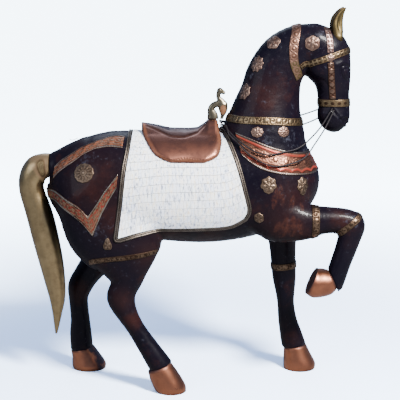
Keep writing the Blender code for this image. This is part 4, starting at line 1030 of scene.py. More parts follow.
def whole(route):
    """A right side's route from its first point over the middle, where it ends, to the left's."""
    return list(route) + mirrored(route[:-1])[::-1]


def ring_of(route):
    """A closed route from a right side that starts and ends in the middle."""
    return list(route) + mirrored(route[1:-1])[::-1]


def steps_over(length):
    """How many places a fine sheet has over that many millimetres."""
    return int(round(length / SHEET_STEP)) + 1


def fine_route(route, ring):
    """Evenly spaced places along a smooth curve through a route's points."""
    if ring:
        wrapped = list(route[-2:]) + list(route) + list(route[:2])
        line = smooth_stations(wrapped, 12)[24:24 + 12 * len(route) + 1]
    else:
        line = smooth_stations(route, 12)
    places = evenly(line, steps_over(run_of(line)[-1]))
    return places[:-1] if ring else places


def averaged(rows, ring, reach=6):
    """Rows of vectors, each averaged with its neighbours."""
    total = np.zeros(rows.shape)
    for k in range(-reach, reach + 1):
        if ring:
            total += np.roll(rows, k, axis=0)
        else:
            total += rows[np.clip(np.arange(len(rows)) + k, 0, len(rows) - 1)]
    return unit(total)


def across_route(places, width, ring):
    """A grid of places, that many millimetres wide, across a route on the carving."""
    flat, normals = nearest(body_surface, placed(places))
    along = np.roll(flat, -1, axis=0) - np.roll(flat, 1, axis=0) if ring else np.gradient(flat, axis=0)
    across = unit(np.cross(averaged(along, ring), averaged(normals, ring)))
    offsets = np.linspace(-0.5, 0.5, steps_over(width)) * width * SHARE
    return flat[:, None] + across[:, None] * offsets[None, :, None]


def grid_quads(rows, columns, ring=False):
    """Faces between the places of a grid, whose last row may meet its first."""
    index = np.arange(rows * columns).reshape(rows, columns)
    if ring:
        index = np.vstack([index, index[:1]])
    corners = (index[:-1, :-1], index[1:, :-1], index[1:, 1:], index[:-1, 1:])
    return np.stack([corner.ravel() for corner in corners], axis=-1)


def closed_sheet(top, count):
    """A closed sheet's faces: the top ones, the same count places on underneath, and a wall between."""
    sides = {(a, b) for quad in top.tolist() for a, b in zip(quad, quad[1:] + quad[:1])}
    wall = [(a, a + count, b + count, b) for a, b in sorted(sides) if (b, a) not in sides]
    return np.vstack([top, top[:, ::-1] + count, wall])


def laid(name, node, grid, material, relief, ring=False, thickness=SHEET_THICKNESS):
    """A closed sheet over a grid of places in metres, with raised work by its distances along and across."""
    flat, facing = nearest(body_surface, grid.reshape(-1, 3))
    base = flat.reshape(grid.shape)
    along = np.roll(base, -1, axis=0) - np.roll(base, 1, axis=0) if ring else np.gradient(base, axis=0)
    normals = unit(np.cross(along, np.gradient(base, axis=1))).reshape(-1, 3)
    top = grid_quads(*grid.shape[:2], ring)
    if (normals * facing).sum() < 0:
        normals = -normals
        top = top[:, ::-1]
    normals = unit(normals + facing)
    u = run_of(base.mean(1)) * 1000
    run = np.cumsum(np.linalg.norm(np.diff(base, axis=1), axis=2), axis=1) * 1000
    v = np.concatenate([np.zeros((len(grid), 1)), run], axis=1)
    half = v[:, -1:] / 2
    parts = [np.broadcast_to(part, v.shape).ravel() for part in relief(u[:, None], v - half, half)]
    over = flat + normals * (thickness + SHEET_LIFT + parts[0] / 1000)[:, None]
    under = flat + normals * UNDER_LIFT
    obj = new_object(name, np.vstack([over, under]), closed_sheet(top, len(over)), material)
    for label, values in zip(("raised", "enamel"), parts[1:]):
        vertex_mask(obj, label, np.append(values, values * 0))
    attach(obj, "root")
    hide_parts(node)
    return obj


def highest(*shapes):
    return np.maximum.reduce(shapes)


def bump_row(u, v, pitch, radius, start=0.0, lift=0.0):
    """Round bosses along a line: their height from 0 to 1, and the place on the nearest one."""
    near = u - start - np.round((u - start) / pitch) * pitch
    r = np.hypot(near, v - lift) / radius
    return np.sqrt(held(1 - r * r)), r, np.arctan2(v - lift, near)


def rope_edges(u, v, half, width=2.4, pitch=3.6):
    """A twisted wire along both edges, from 0 to 1."""
    off = (half - np.abs(v) - width / 2) / (width / 2)
    return np.sqrt(held(1 - off * off)) * (0.7 + 0.3 * np.cos(2 * np.pi * (u + np.abs(v) * 0.8) / pitch))


def running_scroll(u, v, pitch, tightness):
    """Scrolls that turn one way and then the other along a band, from 0 to 1."""
    k = np.round(u / pitch)
    near = u - k * pitch
    hand = np.where(k % 2 == 0, 1.0, -1.0)
    centre = hand * pitch * 0.08
    r = np.hypot(near, v - centre)
    return 0.5 + 0.5 * np.cos(2 * np.pi * r / tightness - hand * np.arctan2(v - centre, near))


# Each relief below gives three things for places u along a strap and v from its middle, in millimetres, on a
# strap that is half wide on each side: its height in millimetres, how clean the metal is, from 0 to 1, and
# its finish, from -1 for pewter to 1 for enamel
def crown_relief(u, v, half):
    dome, r, _ = bump_row(u, v, 17, 7.8, 6)
    ring = bell(r, 0.92, 0.16)
    eye = held(1.25 - r * 2.6)
    rope = rope_edges(u, v, half, 3.0, 4.2)
    field = running_scroll(u, v, 8.5, 5.0) * (r >= 1.1) * 0.6
    h = highest(rope * 0.9, dome * 0.8 + eye * 0.6, ring * 1.1, field * 0.6)
    brass = held((CROWN_BRASS_REACH - np.minimum(u, u.max() - u)) / 6) * (0.95 - 0.75 * np.maximum(ring, eye))
    return h, held(0.05 + highest(rope, ring, eye, field)), brass


def leaf_relief(u, v, half):
    rope = rope_edges(u, v, half, 2.4, 4.0)
    leaf = held(np.cos(np.pi * u / LEAF_PITCH) ** 2 * 1.3 - np.abs(v) / (half * 0.9))
    vein = 0.5 + 0.5 * np.cos(2 * np.pi * (u + np.abs(v) * 1.6) / 4.4)
    dots = bump_row(u, v, LEAF_PITCH, 2.6, LEAF_PITCH / 2)[0]
    h = highest(rope * 0.8, np.sqrt(leaf) * (0.5 + 0.6 * vein), dots)
    return h, held(0.03 + highest(rope * 0.7, leaf * 1.4 * (0.5 + 0.5 * vein), dots)), 0 * h


def boss_relief(u, v, half):
    dome, r, _ = bump_row(u, v, BOSS_PITCH, 6.0, 3)
    rope = rope_edges(u, v, half, 2.0, 3.6)
    small = bump_row(u, np.abs(v), BOSS_PITCH, 2.2, 3 + BOSS_PITCH / 2, 4.0)[0]
    h = highest(rope * 0.7, dome * 1.6, small * 0.9)
    return h, held(0.02 + highest(rope * 0.45, dome * 1.15 * (r < 0.9), small * 0.6)), 0 * h


def oval_relief(u, v, half):
    rope = rope_edges(u, v, half, 2.6, 4.0)
    near = u - np.round(u / OVAL_PITCH) * OVAL_PITCH
    r = np.hypot(near / 5.0, v / (half * 0.50))
    ring = bell(r, 1.15, 0.22)
    between = held(0.15 - 0.5 * np.cos(2 * np.pi * u / OVAL_PITCH)) * (np.abs(v) < half - 2.6)
    h = highest(rope * 0.9, np.sqrt(held(1 - r * r)) * 1.2, ring * 0.9, between)
    return h, held(0.04 + highest(rope, ring, between * 1.3)), 0 * h


def scroll_relief(u, v, half):
    rope = rope_edges(u, v, half, 3.0, 4.6)
    scroll = running_scroll(u, v, half * 1.7, 7.0) * (np.abs(v) < half - 3.0)
    dome = bump_row(u, v, half * 3.4, half * 0.55)[0]
    h = highest(rope * 0.9, scroll * 0.9, dome * 1.3)
    return h, held(0.04 + highest(rope * 0.8, scroll**1.3, dome)), 0 * h


pink_copper = metal_finish("pink_copper", (0.24, 0.132, 0.096), (0.060, 0.028, 0.018), 70, 0.4,
                           (0.034, 0.026, 0.008))
pale_copper = metal_finish("pale_copper", (0.21, 0.145, 0.125), (0.050, 0.026, 0.022), 70, 0.4)
bridle_brass = metal_finish("bridle_brass", (0.23, 0.16, 0.088), (0.024, 0.014, 0.009))
brown_copper = metal_finish("brown_copper", (0.17, 0.105, 0.075), (0.040, 0.018, 0.012), 70, 0.4)


def strap(node, route, width, material, relief, ring=False):
    grid = across_route(fine_route(route, ring), width, ring)
    return laid("embossed_" + node.replace("_strap", ""), node, grid, material, relief, ring)


tack = [
    strap("crown_band", whole(CROWN_ROUTE), CROWN_WIDTH, pink_copper, crown_relief),
    strap("brow_band", whole(BROW_ROUTE), BROW_WIDTH, bridle_brass, leaf_relief),
    strap("noseband", ring_of(NOSEBAND_ROUTE), NOSEBAND_WIDTH, bridle_brass, oval_relief, ring=True),
    strap("neck_band", ring_of(NECK_BAND_ROUTE), NECK_BAND_WIDTH, bridle_brass, scroll_relief, ring=True),
]
for side, turn in (("right", list), ("left", mirrored)):
    tack += [
        strap("cheek_strap_upper_" + side, turn(UPPER_CHEEK_ROUTE), CHEEK_WIDTH, pale_copper, leaf_relief),
        strap("cheek_strap_lower_" + side, turn(LOWER_CHEEK_ROUTE), CHEEK_WIDTH, brown_copper, boss_relief),
    ]

# Collar
# A broad collar of orange-red copper round the chest, with grey twisted edges, a row of round bosses with
# petals round them, a red enamel line above and another that hangs in scallops below.
COLLAR_UPPER = [(82, -52, 618), (115, -74, 607), (158, -81, 590), (188, -77, 581), (219, -63, 574),
                (243, -38, 571), (254, 0, 571)]
COLLAR_LOWER = [(95, -85, 570), (118, -93, 551), (146, -99, 537), (182, -98, 528), (219, -84, 523),
                (256, -56, 521), (276, 0, 523)]
COLLAR_PITCH = 27.0


def filled(both, columns):
    """A grid of places in metres from rows that each hold a place on one edge and a place on the other."""
    shares = np.linspace(0, 1, columns)[None, :, None]
    return placed(both[:, None, :3] * (1 - shares) + both[:, None, 3:] * shares)


def between_edges(upper, lower):
    """A grid of places in metres between an upper and a lower edge."""
    top = smooth_stations(upper, 16)
    bottom = smooth_stations(lower, 16)
    width = np.linalg.norm(top - bottom, axis=1).mean()
    both = evenly(np.hstack([top, bottom]), steps_over(run_of((top + bottom) / 2)[-1]))
    return filled(both, steps_over(width))


def collar_relief(u, v, half):
    from_middle = np.abs(u - u.max() / 2)
    rope = rope_edges(u, v, half, 4.4, 5.0)
    dome, r, turn = bump_row(u, v, COLLAR_PITCH, 6.2, COLLAR_PITCH / 2, -3.0)
    petals = (0.5 + 0.5 * np.cos(turn * 8)) * bell(r, 1.35, 0.24)
    swag = half - 8.0 - 5.5 * np.abs(np.sin(np.pi * u / COLLAR_PITCH)) ** 0.8
    line = bell(v, swag, 2.1)
    upper_line = bell(v, 9.5 - half, 2.0)
    veins = running_scroll(u, v, 12.0, 6.0) * (np.abs(v) < half - 6) * 0.5
    h = highest(rope * 1.3, dome * 1.4, petals * 0.9, line * 1.1, upper_line * 0.9, veins)
    shadow = np.maximum(bell(v, swag + 4.2, 1.4), bell(v, 13.0 - half, 1.3)) * (r > 1.2)
    dark = np.maximum(bell(r, 0.95, 0.14), shadow)
    raised = held(0.25 + highest(dome, petals, line, upper_line, veins) - 1.3 * dark)
    raised = np.where(rope > 0.05, 0.3 + 0.7 * rope, raised)
    inner = held(half - 5.0 - np.abs(v))
    red = inner * held(np.maximum(line, upper_line) * 1.5 - petals - 2 * (r < 1.1))
    rust = inner * held(1.1 - from_middle / 34) * (1 - petals) * 0.45
    return h, raised, np.where(rope > 0.03, -0.9, np.maximum(red, rust))


collar_copper = metal_finish("enamelled_collar_copper", (0.25, 0.112, 0.070), (0.036, 0.015, 0.011), 45, 0.6,
                             (0.18, 0.018, 0.010), pewter=(0.15, 0.15, 0.135))
tack.append(laid("embossed_collar", "collar", between_edges(whole(COLLAR_UPPER), whole(COLLAR_LOWER)),
                 collar_copper, collar_relief))

# Crupper and haunch strap
# Two broad straps run from under the saddlecloth to the dock, and one strap with a point on each haunch
# passes behind the thighs. They have red enamel and brass scrolls between twisted grey edges.
CRUPPER_UPPER = [(-174, -38, 606), (-193, -34, 607), (-219, -41, 602), (-246, -45, 593), (-271, -44, 582),
                 (-294, -44, 567), (-318, -38, 551), (-336, -33, 533)]
CRUPPER_LOWER = [(-178, -72, 584), (-209, -68, 586), (-241, -66, 580), (-269, -67, 567), (-288, -68, 552),
                 (-310, -63, 537), (-326, -56, 523), (-337, -47, 508)]
VEE_REAR_UPPER = [(-351, 0, 479), (-347, -30, 482), (-336, -60, 483), (-307, -90, 469), (-278, -103, 453),
                  (-257, -107, 432)]
VEE_REAR_LOWER = [(-349, 0, 458), (-345, -30, 460), (-332, -65, 457), (-304, -92, 438), (-272, -104, 415),
                  (-246, -109, 385)]
VEE_FORE_UPPER = [(-257, -107, 432), (-237, -109, 460), (-220, -109, 487), (-203, -109, 509),
                  (-186, -103, 530)]
VEE_FORE_LOWER = [(-246, -109, 385), (-228, -110, 428), (-212, -110, 459), (-200, -110, 480),
                  (-190, -109, 496)]


HAUNCH_COLUMNS = 17


def enamel_relief(u, v, half):
    rope = rope_edges(u, v, half, 4.4, 5.0)
    inner = held((half - 4.6 - np.abs(v)) / 1.5)
    scroll = running_scroll(u, v, 13.0, 7.0) * inner
    dome = bump_row(u, v, 26.0, 3.0)[0]
    patches = 0.5 + 0.5 * np.cos(2 * np.pi * u / 23 + 1.2 * np.sin(v * 0.7))
    enamel = inner * held(1.25 - scroll * 1.6) * held(0.25 + patches) * (1 - dome)
    h = highest(rope * 1.2, scroll * 0.9, dome * 1.2)
    return h, held(0.06 + highest(rope, scroll**1.4, dome)), np.where(rope > 0.03, -0.95, enamel)


haunch_metal = metal_finish("enamelled_strap_metal", (0.32, 0.200, 0.115), (0.030, 0.014, 0.010), 55, 0.6,
                            (0.17, 0.016, 0.010), pewter=(0.36, 0.33, 0.28))
crupper_metal = metal_finish("crupper_copper", (0.44, 0.245, 0.150), (0.034, 0.016, 0.012), 50, 0.7,
                             (0.22, 0.062, 0.024), pewter=(0.38, 0.31, 0.25))
for side, turn in (("right", list), ("left", mirrored)):
    grid = between_edges(turn(CRUPPER_UPPER), turn(CRUPPER_LOWER))
    laid("embossed_crupper_" + side, "crupper_" + side, grid, crupper_metal, enamel_relief)
edges = []
for rear, fore in ((VEE_REAR_UPPER, VEE_FORE_UPPER), (VEE_REAR_LOWER, VEE_FORE_LOWER)):
    behind = smooth_stations(rear, 16)[:-1]
    right = np.vstack([behind, smooth_stations(fore, 16)])
    edges.append(np.vstack([right[:0:-1] * (1, -1, 1), right]))
both = np.hstack(edges)
middle = len(right) - 1
bends = (0, middle - len(behind), middle + len(behind), len(both) - 1)
spaced = []
for first, last in zip(bends, bends[1:]):
    part = both[first:last + 1]
    spaced.append(evenly(part, steps_over(run_of((part[:, :3] + part[:, 3:]) / 2)[-1]))[:-1])
laid("embossed_haunch_strap", "haunch_strap", filled(np.vstack(spaced + [both[-1:]]), HAUNCH_COLUMNS),
     haunch_metal, enamel_relief)

# Leg bands
# Brass bands nailed round the raised foreleg above and below its elbow joint, round the standing foreleg, and
# across the outside of the near thigh.
# Each band's middle, the leg's direction there, half depth, half width, width, and where it starts and ends
LEG_BANDS = {
    "band_raised_fore": ((266, -71, 413), (1.0, 0.0), 37, 33, 18, 0, 360),
    "band_raised_knee": ((343, -72, 406), (0.64, -0.77), 36, 28, 15, 0, 360),
    "band_standing_fore": ((205, 66, 271), (0.1, -1.0), 31, 27, 17, 0, 360),
    "band_near_hind": ((-170, -64, 334), (0.1, -1.0), 78, 45, 13, -70, 84),
}
band_brass = metal_finish("band_brass", (0.15, 0.098, 0.062), (0.026, 0.015, 0.010), 55, 0.8)
for name, (middle, along, half_depth, half_width, width, start, end) in LEG_BANDS.items():
    axis = np.array([along[0], 0, along[1]]) / np.hypot(*along)
    out = np.array([0, -1.0 if middle[1] < 0 else 1.0, 0])
    ring = end - start == 360
    count = int(round(np.radians(end - start) * (half_depth + half_width) / 2 / SHEET_STEP))
    angles = np.radians(np.linspace(start, end, count, endpoint=not ring))
    offsets = np.outer(np.cos(angles) * half_width, out)
    offsets += np.outer(np.sin(angles) * half_depth, np.cross(axis, out))
    shares = np.linspace(-0.5, 0.5, steps_over(width))
    grid = np.array(middle) + offsets[:, None] + axis * width * shares[None, :, None]
    laid("embossed_" + name, name, placed(grid), band_brass, scroll_relief, ring)

# Medallions
# Thin stamped rosettes and hearts, each with a low dome, a beaded rim and a raised flower. The copper ones
# are on the head and neck, and the brass ones on the chest, the elbow, the rump and the thigh.
ROUND = "round"
HEART = "heart"
# Each medallion's middle, half width, half height, kind, lobes, their depth, and if the left has one too
MEDALLIONS = {
    "medallion_crest": ((167, -26, 821), 18, 18, ROUND, 5, 0.06, True),
    "medallion_mane": ((130, -29, 772), 18, 20, ROUND, 9, 0.10, True),
    "medallion_neck": ((103, -29, 708), 17, 20, ROUND, 7, 0.08, True),
    "medallion_cheek": ((255, -40, 820), 18, 19, ROUND, 6, 0.05, True),
    "medallion_throat_rear": ((130, -74, 621), 15, 13, ROUND, 8, 0.05, True),
    "medallion_throat_front": ((191, -67, 621), 15, 13, ROUND, 8, 0.05, True),
    "heart_shoulder": ((156, -103, 503), 21, 21, HEART, 0, 0, True),
    "heart_chest": ((236, -78, 496), 19, 23, HEART, 0, 0, True),
    "medallion_elbow": ((135, -101, 427), 12, 13, ROUND, 6, 0.05, False),
    "medallion_rump": ((-265, -92, 530), 25, 24, ROUND, 12, 0.03, True),
    "medallion_thigh": ((-212, -110, 366), 11, 16, ROUND, 3, 0.15, False),
    "medallion_crossing": ((297, -43, 787), 11, 11, ROUND, 4, 0.12, True),
}
BRASS_MEDALLIONS = ("heart_shoulder", "heart_chest", "medallion_rump", "medallion_thigh", "medallion_elbow")
MEDALLION_THICKNESS = 0.0008
MEDALLION_DOME = 0.0016
MEDALLION_RELIEF = 0.0011
HEART_LOBES = 7
LEAST_LOBES = 5
SECTORS = 72
heart_brass = metal_finish("medallion_brass", (0.21, 0.145, 0.098), (0.040, 0.024, 0.016), 60, 0.6)
medallion_copper = metal_finish("medallion_copper", (0.27, 0.175, 0.130), (0.060, 0.032, 0.025), 60, 0.6)


def rosette(s, turn, lobes, size):
    """A stamped flower from its middle, where s is 0, to its rim, where s is 1: heights from 0 to 1."""
    lobes = max(lobes, LEAST_LOBES)
    eye = np.sqrt(held(1 - (s / 0.20) ** 2))
    petal = held(np.cos(lobes * turn / 2) ** 2 * 1.3 - np.abs(s - 0.55) / 0.26) ** 0.5
    curl = 0.5 + 0.5 * np.cos(s * 26 - lobes * turn)
    rim = bell(s, 0.92, 0.045) * (0.7 + 0.3 * np.cos(turn * size * 1.9))
    between = 0.45 * curl * (s > 0.7) * (s < 0.88)
    return highest(eye, bell(s, 0.27, 0.04), petal * (0.6 + 0.4 * curl), rim, between)


def medallion(name, surface, centre, half_width, half_height, kind, lobes, depth, material):
    place, normal = [found[0] for found in nearest(surface, placed([centre]))]
    across = unit(np.cross((0, 0, 1), normal))
    up = np.cross(normal, across)
    t = np.arange(SECTORS) * 2 * np.pi / SECTORS
    if kind == HEART:
        lobes = HEART_LOBES
        radius = 0.86 + 0.07 * np.cos(HEART_LOBES * t) + 0.24 * bell(t, np.pi, 0.22)
        rim_x, rim_y = radius * np.sin(t), radius * np.cos(t) + 0.08
    else:
        radius = (1 + depth * np.cos(lobes * t)) / (1 + depth)
        rim_x, rim_y = radius * np.sin(t), radius * np.cos(t)
    size = max(half_width, half_height)
    rings = max(8, int(round(size / 1.2)))
    s = np.append(np.repeat(np.linspace(1, 0.06, rings), SECTORS), 0)
    turn = np.append(np.tile(t, rings), 0)
    x = s * np.append(np.tile(rim_x, rings), 0)
    y = s * np.append(np.tile(rim_y, rings), 0)
    spread = place + np.outer(x * half_width * SHARE, across) + np.outer(y * half_height * SHARE, up)
    flat, _ = nearest(surface, spread)
    work = rosette(s, turn, lobes, size)
    high = MEDALLION_THICKNESS + MEDALLION_DOME * (1 - s * s) + work * MEDALLION_RELIEF
    verts = np.vstack([flat + normal * high[:, None], flat[:SECTORS] + normal * UNDER_LIFT, flat[-1:]])
    count = len(s)
    last = (rings - 1) * SECTORS
    faces = []
    for i in range(SECTORS):
        j = (i + 1) % SECTORS
        faces += [(k + i, k + j, k + SECTORS + j, k + SECTORS + i) for k in range(0, last, SECTORS)]
        faces += [(last + i, last + j, count - 1), (i, count + i, count + j, j)]
        faces.append((count + j, count + i, len(verts) - 1))
    obj = new_object(name, verts, faces, material)
    face_outward(obj)
    vertex_mask(obj, "raised", np.append(held(0.3 + 0.7 * work), np.zeros(SECTORS + 1)))
    return obj


under_medallions = surface_of([body] + tack)
for name, (centre, half_width, half_height, kind, lobes, depth, on_left) in MEDALLIONS.items():
    brass = name in BRASS_MEDALLIONS
    for side, turn in (("right", list), ("left", mirrored))[:1 + on_left]:
        piece = medallion(f"stamped_{name}_{side}", under_medallions, turn([centre])[0], half_width,
                          half_height, kind, lobes, depth, heart_brass if brass else medallion_copper)
        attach(piece, "root")
        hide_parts(f"{name}_{side}")

# Saddlecloth
# A flat mosaic of mother-of-pearl tiles, about 8 by 19 mm each, fixed to a thin board that is bent over the
# back. The tiles stand on end in level rows with grey joints.
CLOTH_REAR = [(-188, -111, 381), (-178, -112, 450), (-168, -101, 535), (-160, -72, 582), (-156, 0, 613)]
CLOTH_FRONT = [(100, -95, 424), (108, -100, 446), (98, -104, 488), (80, -88, 552), (57, -45, 605),
               (44, 0, 612)]
CLOTH_BOTTOM = [(-188, -111, 381), (-138, -101, 393), (-81, -87, 400), (0, -90, 402), (66, -90, 406),
                (100, -95, 424)]
CLOTH_TOP = [(-156, 0, 613), (-90, 0, 605), (0, 0, 604), (44, 0, 612)]
CLOTH_THICKNESS = 0.0030
BOARD_THICKNESS = 0.0016
BOARD_GRID = (91, 121)
TILE_WIDTH = 8.5
TILE_JOINT_SHARE = 0.05
TILE_BEVEL = 0.0003
TILE_TOP_SHARE = 0.93
TILE_RISES = (0.92, 1.06)
TILE_SEED = 3
TILE_ROWS_A_SIDE = 15
CUT_CHANCE = 0.09
WOBBLE = 0.0012


def cloth_edge(points, shares):
    rows = smooth_stations(points, 16)
    run = run_of(rows)
    return np.stack([np.interp(shares * run[-1], run, rows[:, i]) for i in range(3)], axis=-1)


def cloth_places(s, t):
    """Places in metres on the cloth: s runs from rear to front, and t from the right hem to the left."""
    t_right = np.where(t > 0.5, 1 - t, t) * 2
    rear, front = cloth_edge(CLOTH_REAR, t_right), cloth_edge(CLOTH_FRONT, t_right)
    bottom, top = cloth_edge(CLOTH_BOTTOM, s), cloth_edge(CLOTH_TOP, s)
    a, b = s[:, None], t_right[:, None]
    rear_low, rear_high = np.array(CLOTH_REAR[0]), np.array(CLOTH_REAR[-1])
    front_low, front_high = np.array(CLOTH_FRONT[0]), np.array(CLOTH_FRONT[-1])
    corners = (1 - a) * ((1 - b) * rear_low + b * rear_high) + a * ((1 - b) * front_low + b * front_high)
    p = (1 - a) * rear + a * front + (1 - b) * bottom + b * top - corners
    p[:, 1] *= np.where(t > 0.5, -1, 1)
    return placed(p)


joint_material, joint_tree, joint_shader = new_material("cloth_joint_filling", (0.42, 0.42, 0.41), 0.8)
joint_tone = steps_of(noise(object_place(joint_tree), 120, 6, 0.7), (0.3, (0.24, 0.23, 0.22)),
                      (0.7, (0.55, 0.55, 0.54)))
link(joint_tone, joint_shader.inputs["Base Color"])
s, t = np.meshgrid(*[np.linspace(0, 1, count) for count in BOARD_GRID], indexing="ij")
laid("saddlecloth_board", "saddlecloth", cloth_places(s.ravel(), t.ravel()).reshape(*BOARD_GRID, 3),
     joint_material, lambda u, v, half: (0 * v, 0 * v, 0 * v), thickness=BOARD_THICKNESS)

chance = np.random.default_rng(7)
tile_verts = []
tile_faces = []
for side in (0, 1):
    for k in range(TILE_ROWS_A_SIDE):
        low_t, high_t = k / TILE_ROWS_A_SIDE / 2, (k + 1) / TILE_ROWS_A_SIDE / 2
        if side:
            low_t, high_t = 1 - high_t, 1 - low_t
        middle = (low_t + high_t) / 2
        line = cloth_places(np.linspace(0, 1, 40), np.full(40, middle))
        count = int(round(run_of(line)[-1] * 1000 / TILE_WIDTH))
        cuts = np.arange(count + 1, dtype=float)
        if k % 2:
            cuts = np.concatenate([[0], cuts[:-1] + 0.5, [count]])
        cuts[1:-1] += chance.uniform(-CUT_CHANCE, CUT_CHANCE, len(cuts) - 2)
        cuts /= count
        wobble = chance.uniform(-WOBBLE, WOBBLE, (len(cuts), 2))
        wobble[0] = wobble[-1] = 0
        for i in range(len(cuts) - 1):
            start = len(tile_verts)
            for cut, level, shift in ((i, low_t, 0), (i + 1, low_t, 0), (i + 1, high_t, 1), (i, high_t, 1)):
                tile_verts.append((np.clip(cuts[cut] + wobble[cut][shift], 0, 1), level))
            tile_faces.append((start, start + 1, start + 2, start + 3))
near, _ = nearest(body_surface, cloth_places(*np.array(tile_verts).T))
tiles_mesh = bpy.data.meshes.new("pearl_tiles")
tiles_mesh.from_pydata(near.tolist(), [], tile_faces)
if sum(np.sign(polygon.center[1] * polygon.normal[1]) for polygon in tiles_mesh.polygons) < 0:
    tiles_mesh.flip_normals()
tiles = bpy.data.objects.new("pearl_tiles", tiles_mesh)
bpy.context.scene.collection.objects.link(tiles)

pearl, pearl_tree, pearl_shader = new_material("mother_of_pearl", (0.75, 0.74, 0.72), 0.25)
stretch = pearl_tree.nodes.new("ShaderNodeMapping")
stretch.inputs["Scale"].default_value = (1, 1, 0.25)
pearl_place = object_place(pearl_tree)
link(pearl_place, stretch.inputs["Vector"])
upright = stretch.outputs["Vector"]
tint = steps_of(attribute_of(pearl_tree, "tile_tone"), (0.0, (0.84, 0.88, 0.96)), (0.2, (0.96, 0.97, 0.98)),
                (0.42, (0.98, 0.96, 0.90)), (0.60, (0.90, 0.93, 0.98)), (0.78, (0.98, 0.94, 0.92)),
                (1.0, (0.92, 0.96, 0.93)))
layers = steps_of(noise(upright, 210, 6, 0.7), (0.36, (0.20, 0.23, 0.32)), (0.46, (0.88, 0.92, 1.0)),
                  (0.56, (1, 1, 1)), (0.66, (0.80, 0.66, 0.48)))
link(mixed(1.0, tint, layers, "MULTIPLY"), pearl_shader.inputs["Base Color"])
link(mask_of(noise(pearl_place, 60, 4, 0.5), 0.3, 0.7, 0.18, 0.38), pearl_shader.inputs["Roughness"])
pearl_shader.inputs["Coat Weight"].default_value = 0.3
pearl_shader.inputs["Coat Roughness"].default_value = 0.15
bumped(pearl_shader, noise(upright, 90, 4, 0.5), 0.2, 0.0008)


def geometry_tree(name, inputs):
    tree = bpy.data.node_groups.new(name, "GeometryNodeTree")
    tree.interface.new_socket("Geometry", in_out="INPUT", socket_type="NodeSocketGeometry")
    for label, kind, value in inputs:
        tree.interface.new_socket(label, in_out="INPUT", socket_type=kind).default_value = value
    tree.interface.new_socket("Geometry", in_out="OUTPUT", socket_type="NodeSocketGeometry")
    return tree, tree.nodes.new("NodeGroupInput").outputs, tree.nodes.new("NodeGroupOutput").inputs


def chained(kind, geometry, **settings):
    """A geometry node fed by another, with its plain settings."""
    node = geometry.id_data.nodes.new(kind)
    for label, value in settings.items():
        setattr(node, label, value)
    link(geometry, node.inputs[0])
    return node


def made_plain(obj, tree, **values):
    """Runs a tree on an object with named inputs and keeps the result as its plain mesh."""
    modifier = obj.modifiers.new(tree.name, "NODES")
    modifier.node_group = tree
    for item in tree.interface.items_tree:
        label = item.name.replace(" ", "_").lower()
        if item.in_out == "INPUT" and label in values:
            modifier[item.identifier] = values[label]
    result = bpy.data.meshes.new_from_object(obj.evaluated_get(bpy.context.evaluated_depsgraph_get()))
    obj.modifiers.remove(modifier)
    obj.data = result


tile_tree, tile_in, tile_out = geometry_tree("pearl_tiling", [
    ("Joint Share", VALUE, TILE_JOINT_SHARE),
    ("Tile Rise", VALUE, CLOTH_THICKNESS),
    ("Seed", "NodeSocketInt", TILE_SEED),
])
parted = chained("GeometryNodeSplitEdges", tile_in["Geometry"])
tone_value = tile_tree.nodes.new("FunctionNodeRandomValue")
tone_value.data_type = "FLOAT"
link(tile_in["Seed"], tone_value.inputs["Seed"])
toned = chained("GeometryNodeStoreNamedAttribute", parted.outputs[0], domain="FACE", data_type="FLOAT")
toned.inputs["Name"].default_value = "tile_tone"
link(tone_value.outputs[1], toned.inputs["Value"])
shrunk = chained("GeometryNodeScaleElements", toned.outputs[0], domain="FACE")
link(combined("SUBTRACT", 1.0, tile_in["Joint Share"]), shrunk.inputs["Scale"])
rise = tile_tree.nodes.new("FunctionNodeRandomValue")
rise.data_type = "FLOAT"
rise.inputs[2].default_value = TILE_RISES[0]
rise.inputs[3].default_value = TILE_RISES[1]
link(tile_in["Seed"], rise.inputs["Seed"])
wall = chained("GeometryNodeExtrudeMesh", shrunk.outputs[0])
link(product(tile_in["Tile Rise"], rise.outputs[1]), wall.inputs["Offset Scale"])
bevel = chained("GeometryNodeExtrudeMesh", wall.outputs["Mesh"])
link(wall.outputs["Top"], bevel.inputs["Selection"])
bevel.inputs["Offset Scale"].default_value = TILE_BEVEL
top_face = chained("GeometryNodeScaleElements", bevel.outputs["Mesh"], domain="FACE")
link(bevel.outputs["Top"], top_face.inputs["Selection"])
top_face.inputs["Scale"].default_value = TILE_TOP_SHARE
realised = chained("GeometryNodeRealizeInstances", top_face.outputs[0])
dressed_tiles = chained("GeometryNodeSetMaterial", realised.outputs[0])
dressed_tiles.inputs["Material"].default_value = pearl
link(dressed_tiles.outputs[0], tile_out["Geometry"])
made_plain(tiles, tile_tree, joint_share=TILE_JOINT_SHARE, tile_rise=CLOTH_THICKNESS, seed=TILE_SEED)
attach(tiles, "root")
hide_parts("saddlecloth")

# Saddlecloth trim
# A grey-brown metal moulding all round the cloth, made of two twisted wires with a groove between them and
# mitred at the corners.
TRIM_WIDTH = 0.0095
TRIM_THICKNESS = 0.0036
TRIM_GAP = 0.0012
TRIM_STEP = 0.0014
TRIM_COLUMNS = 9
trim_metal = metal_finish("grey_brown_trim", (0.17, 0.14, 0.115), (0.026, 0.020, 0.016), 90)


def trim_relief(u, v, half):
    off = (np.abs(v) - half * 0.5) / (half * 0.5)
    profile = np.sqrt(held(1 - off * off))
    twist = 0.5 + 0.5 * np.cos(2 * np.pi * (u + np.abs(v) * 0.9) / 4.2)
    high = TRIM_THICKNESS * 1000 * profile * (0.62 + 0.28 * twist)
    return high, held(profile * (0.35 + 0.65 * twist)), 0 * high


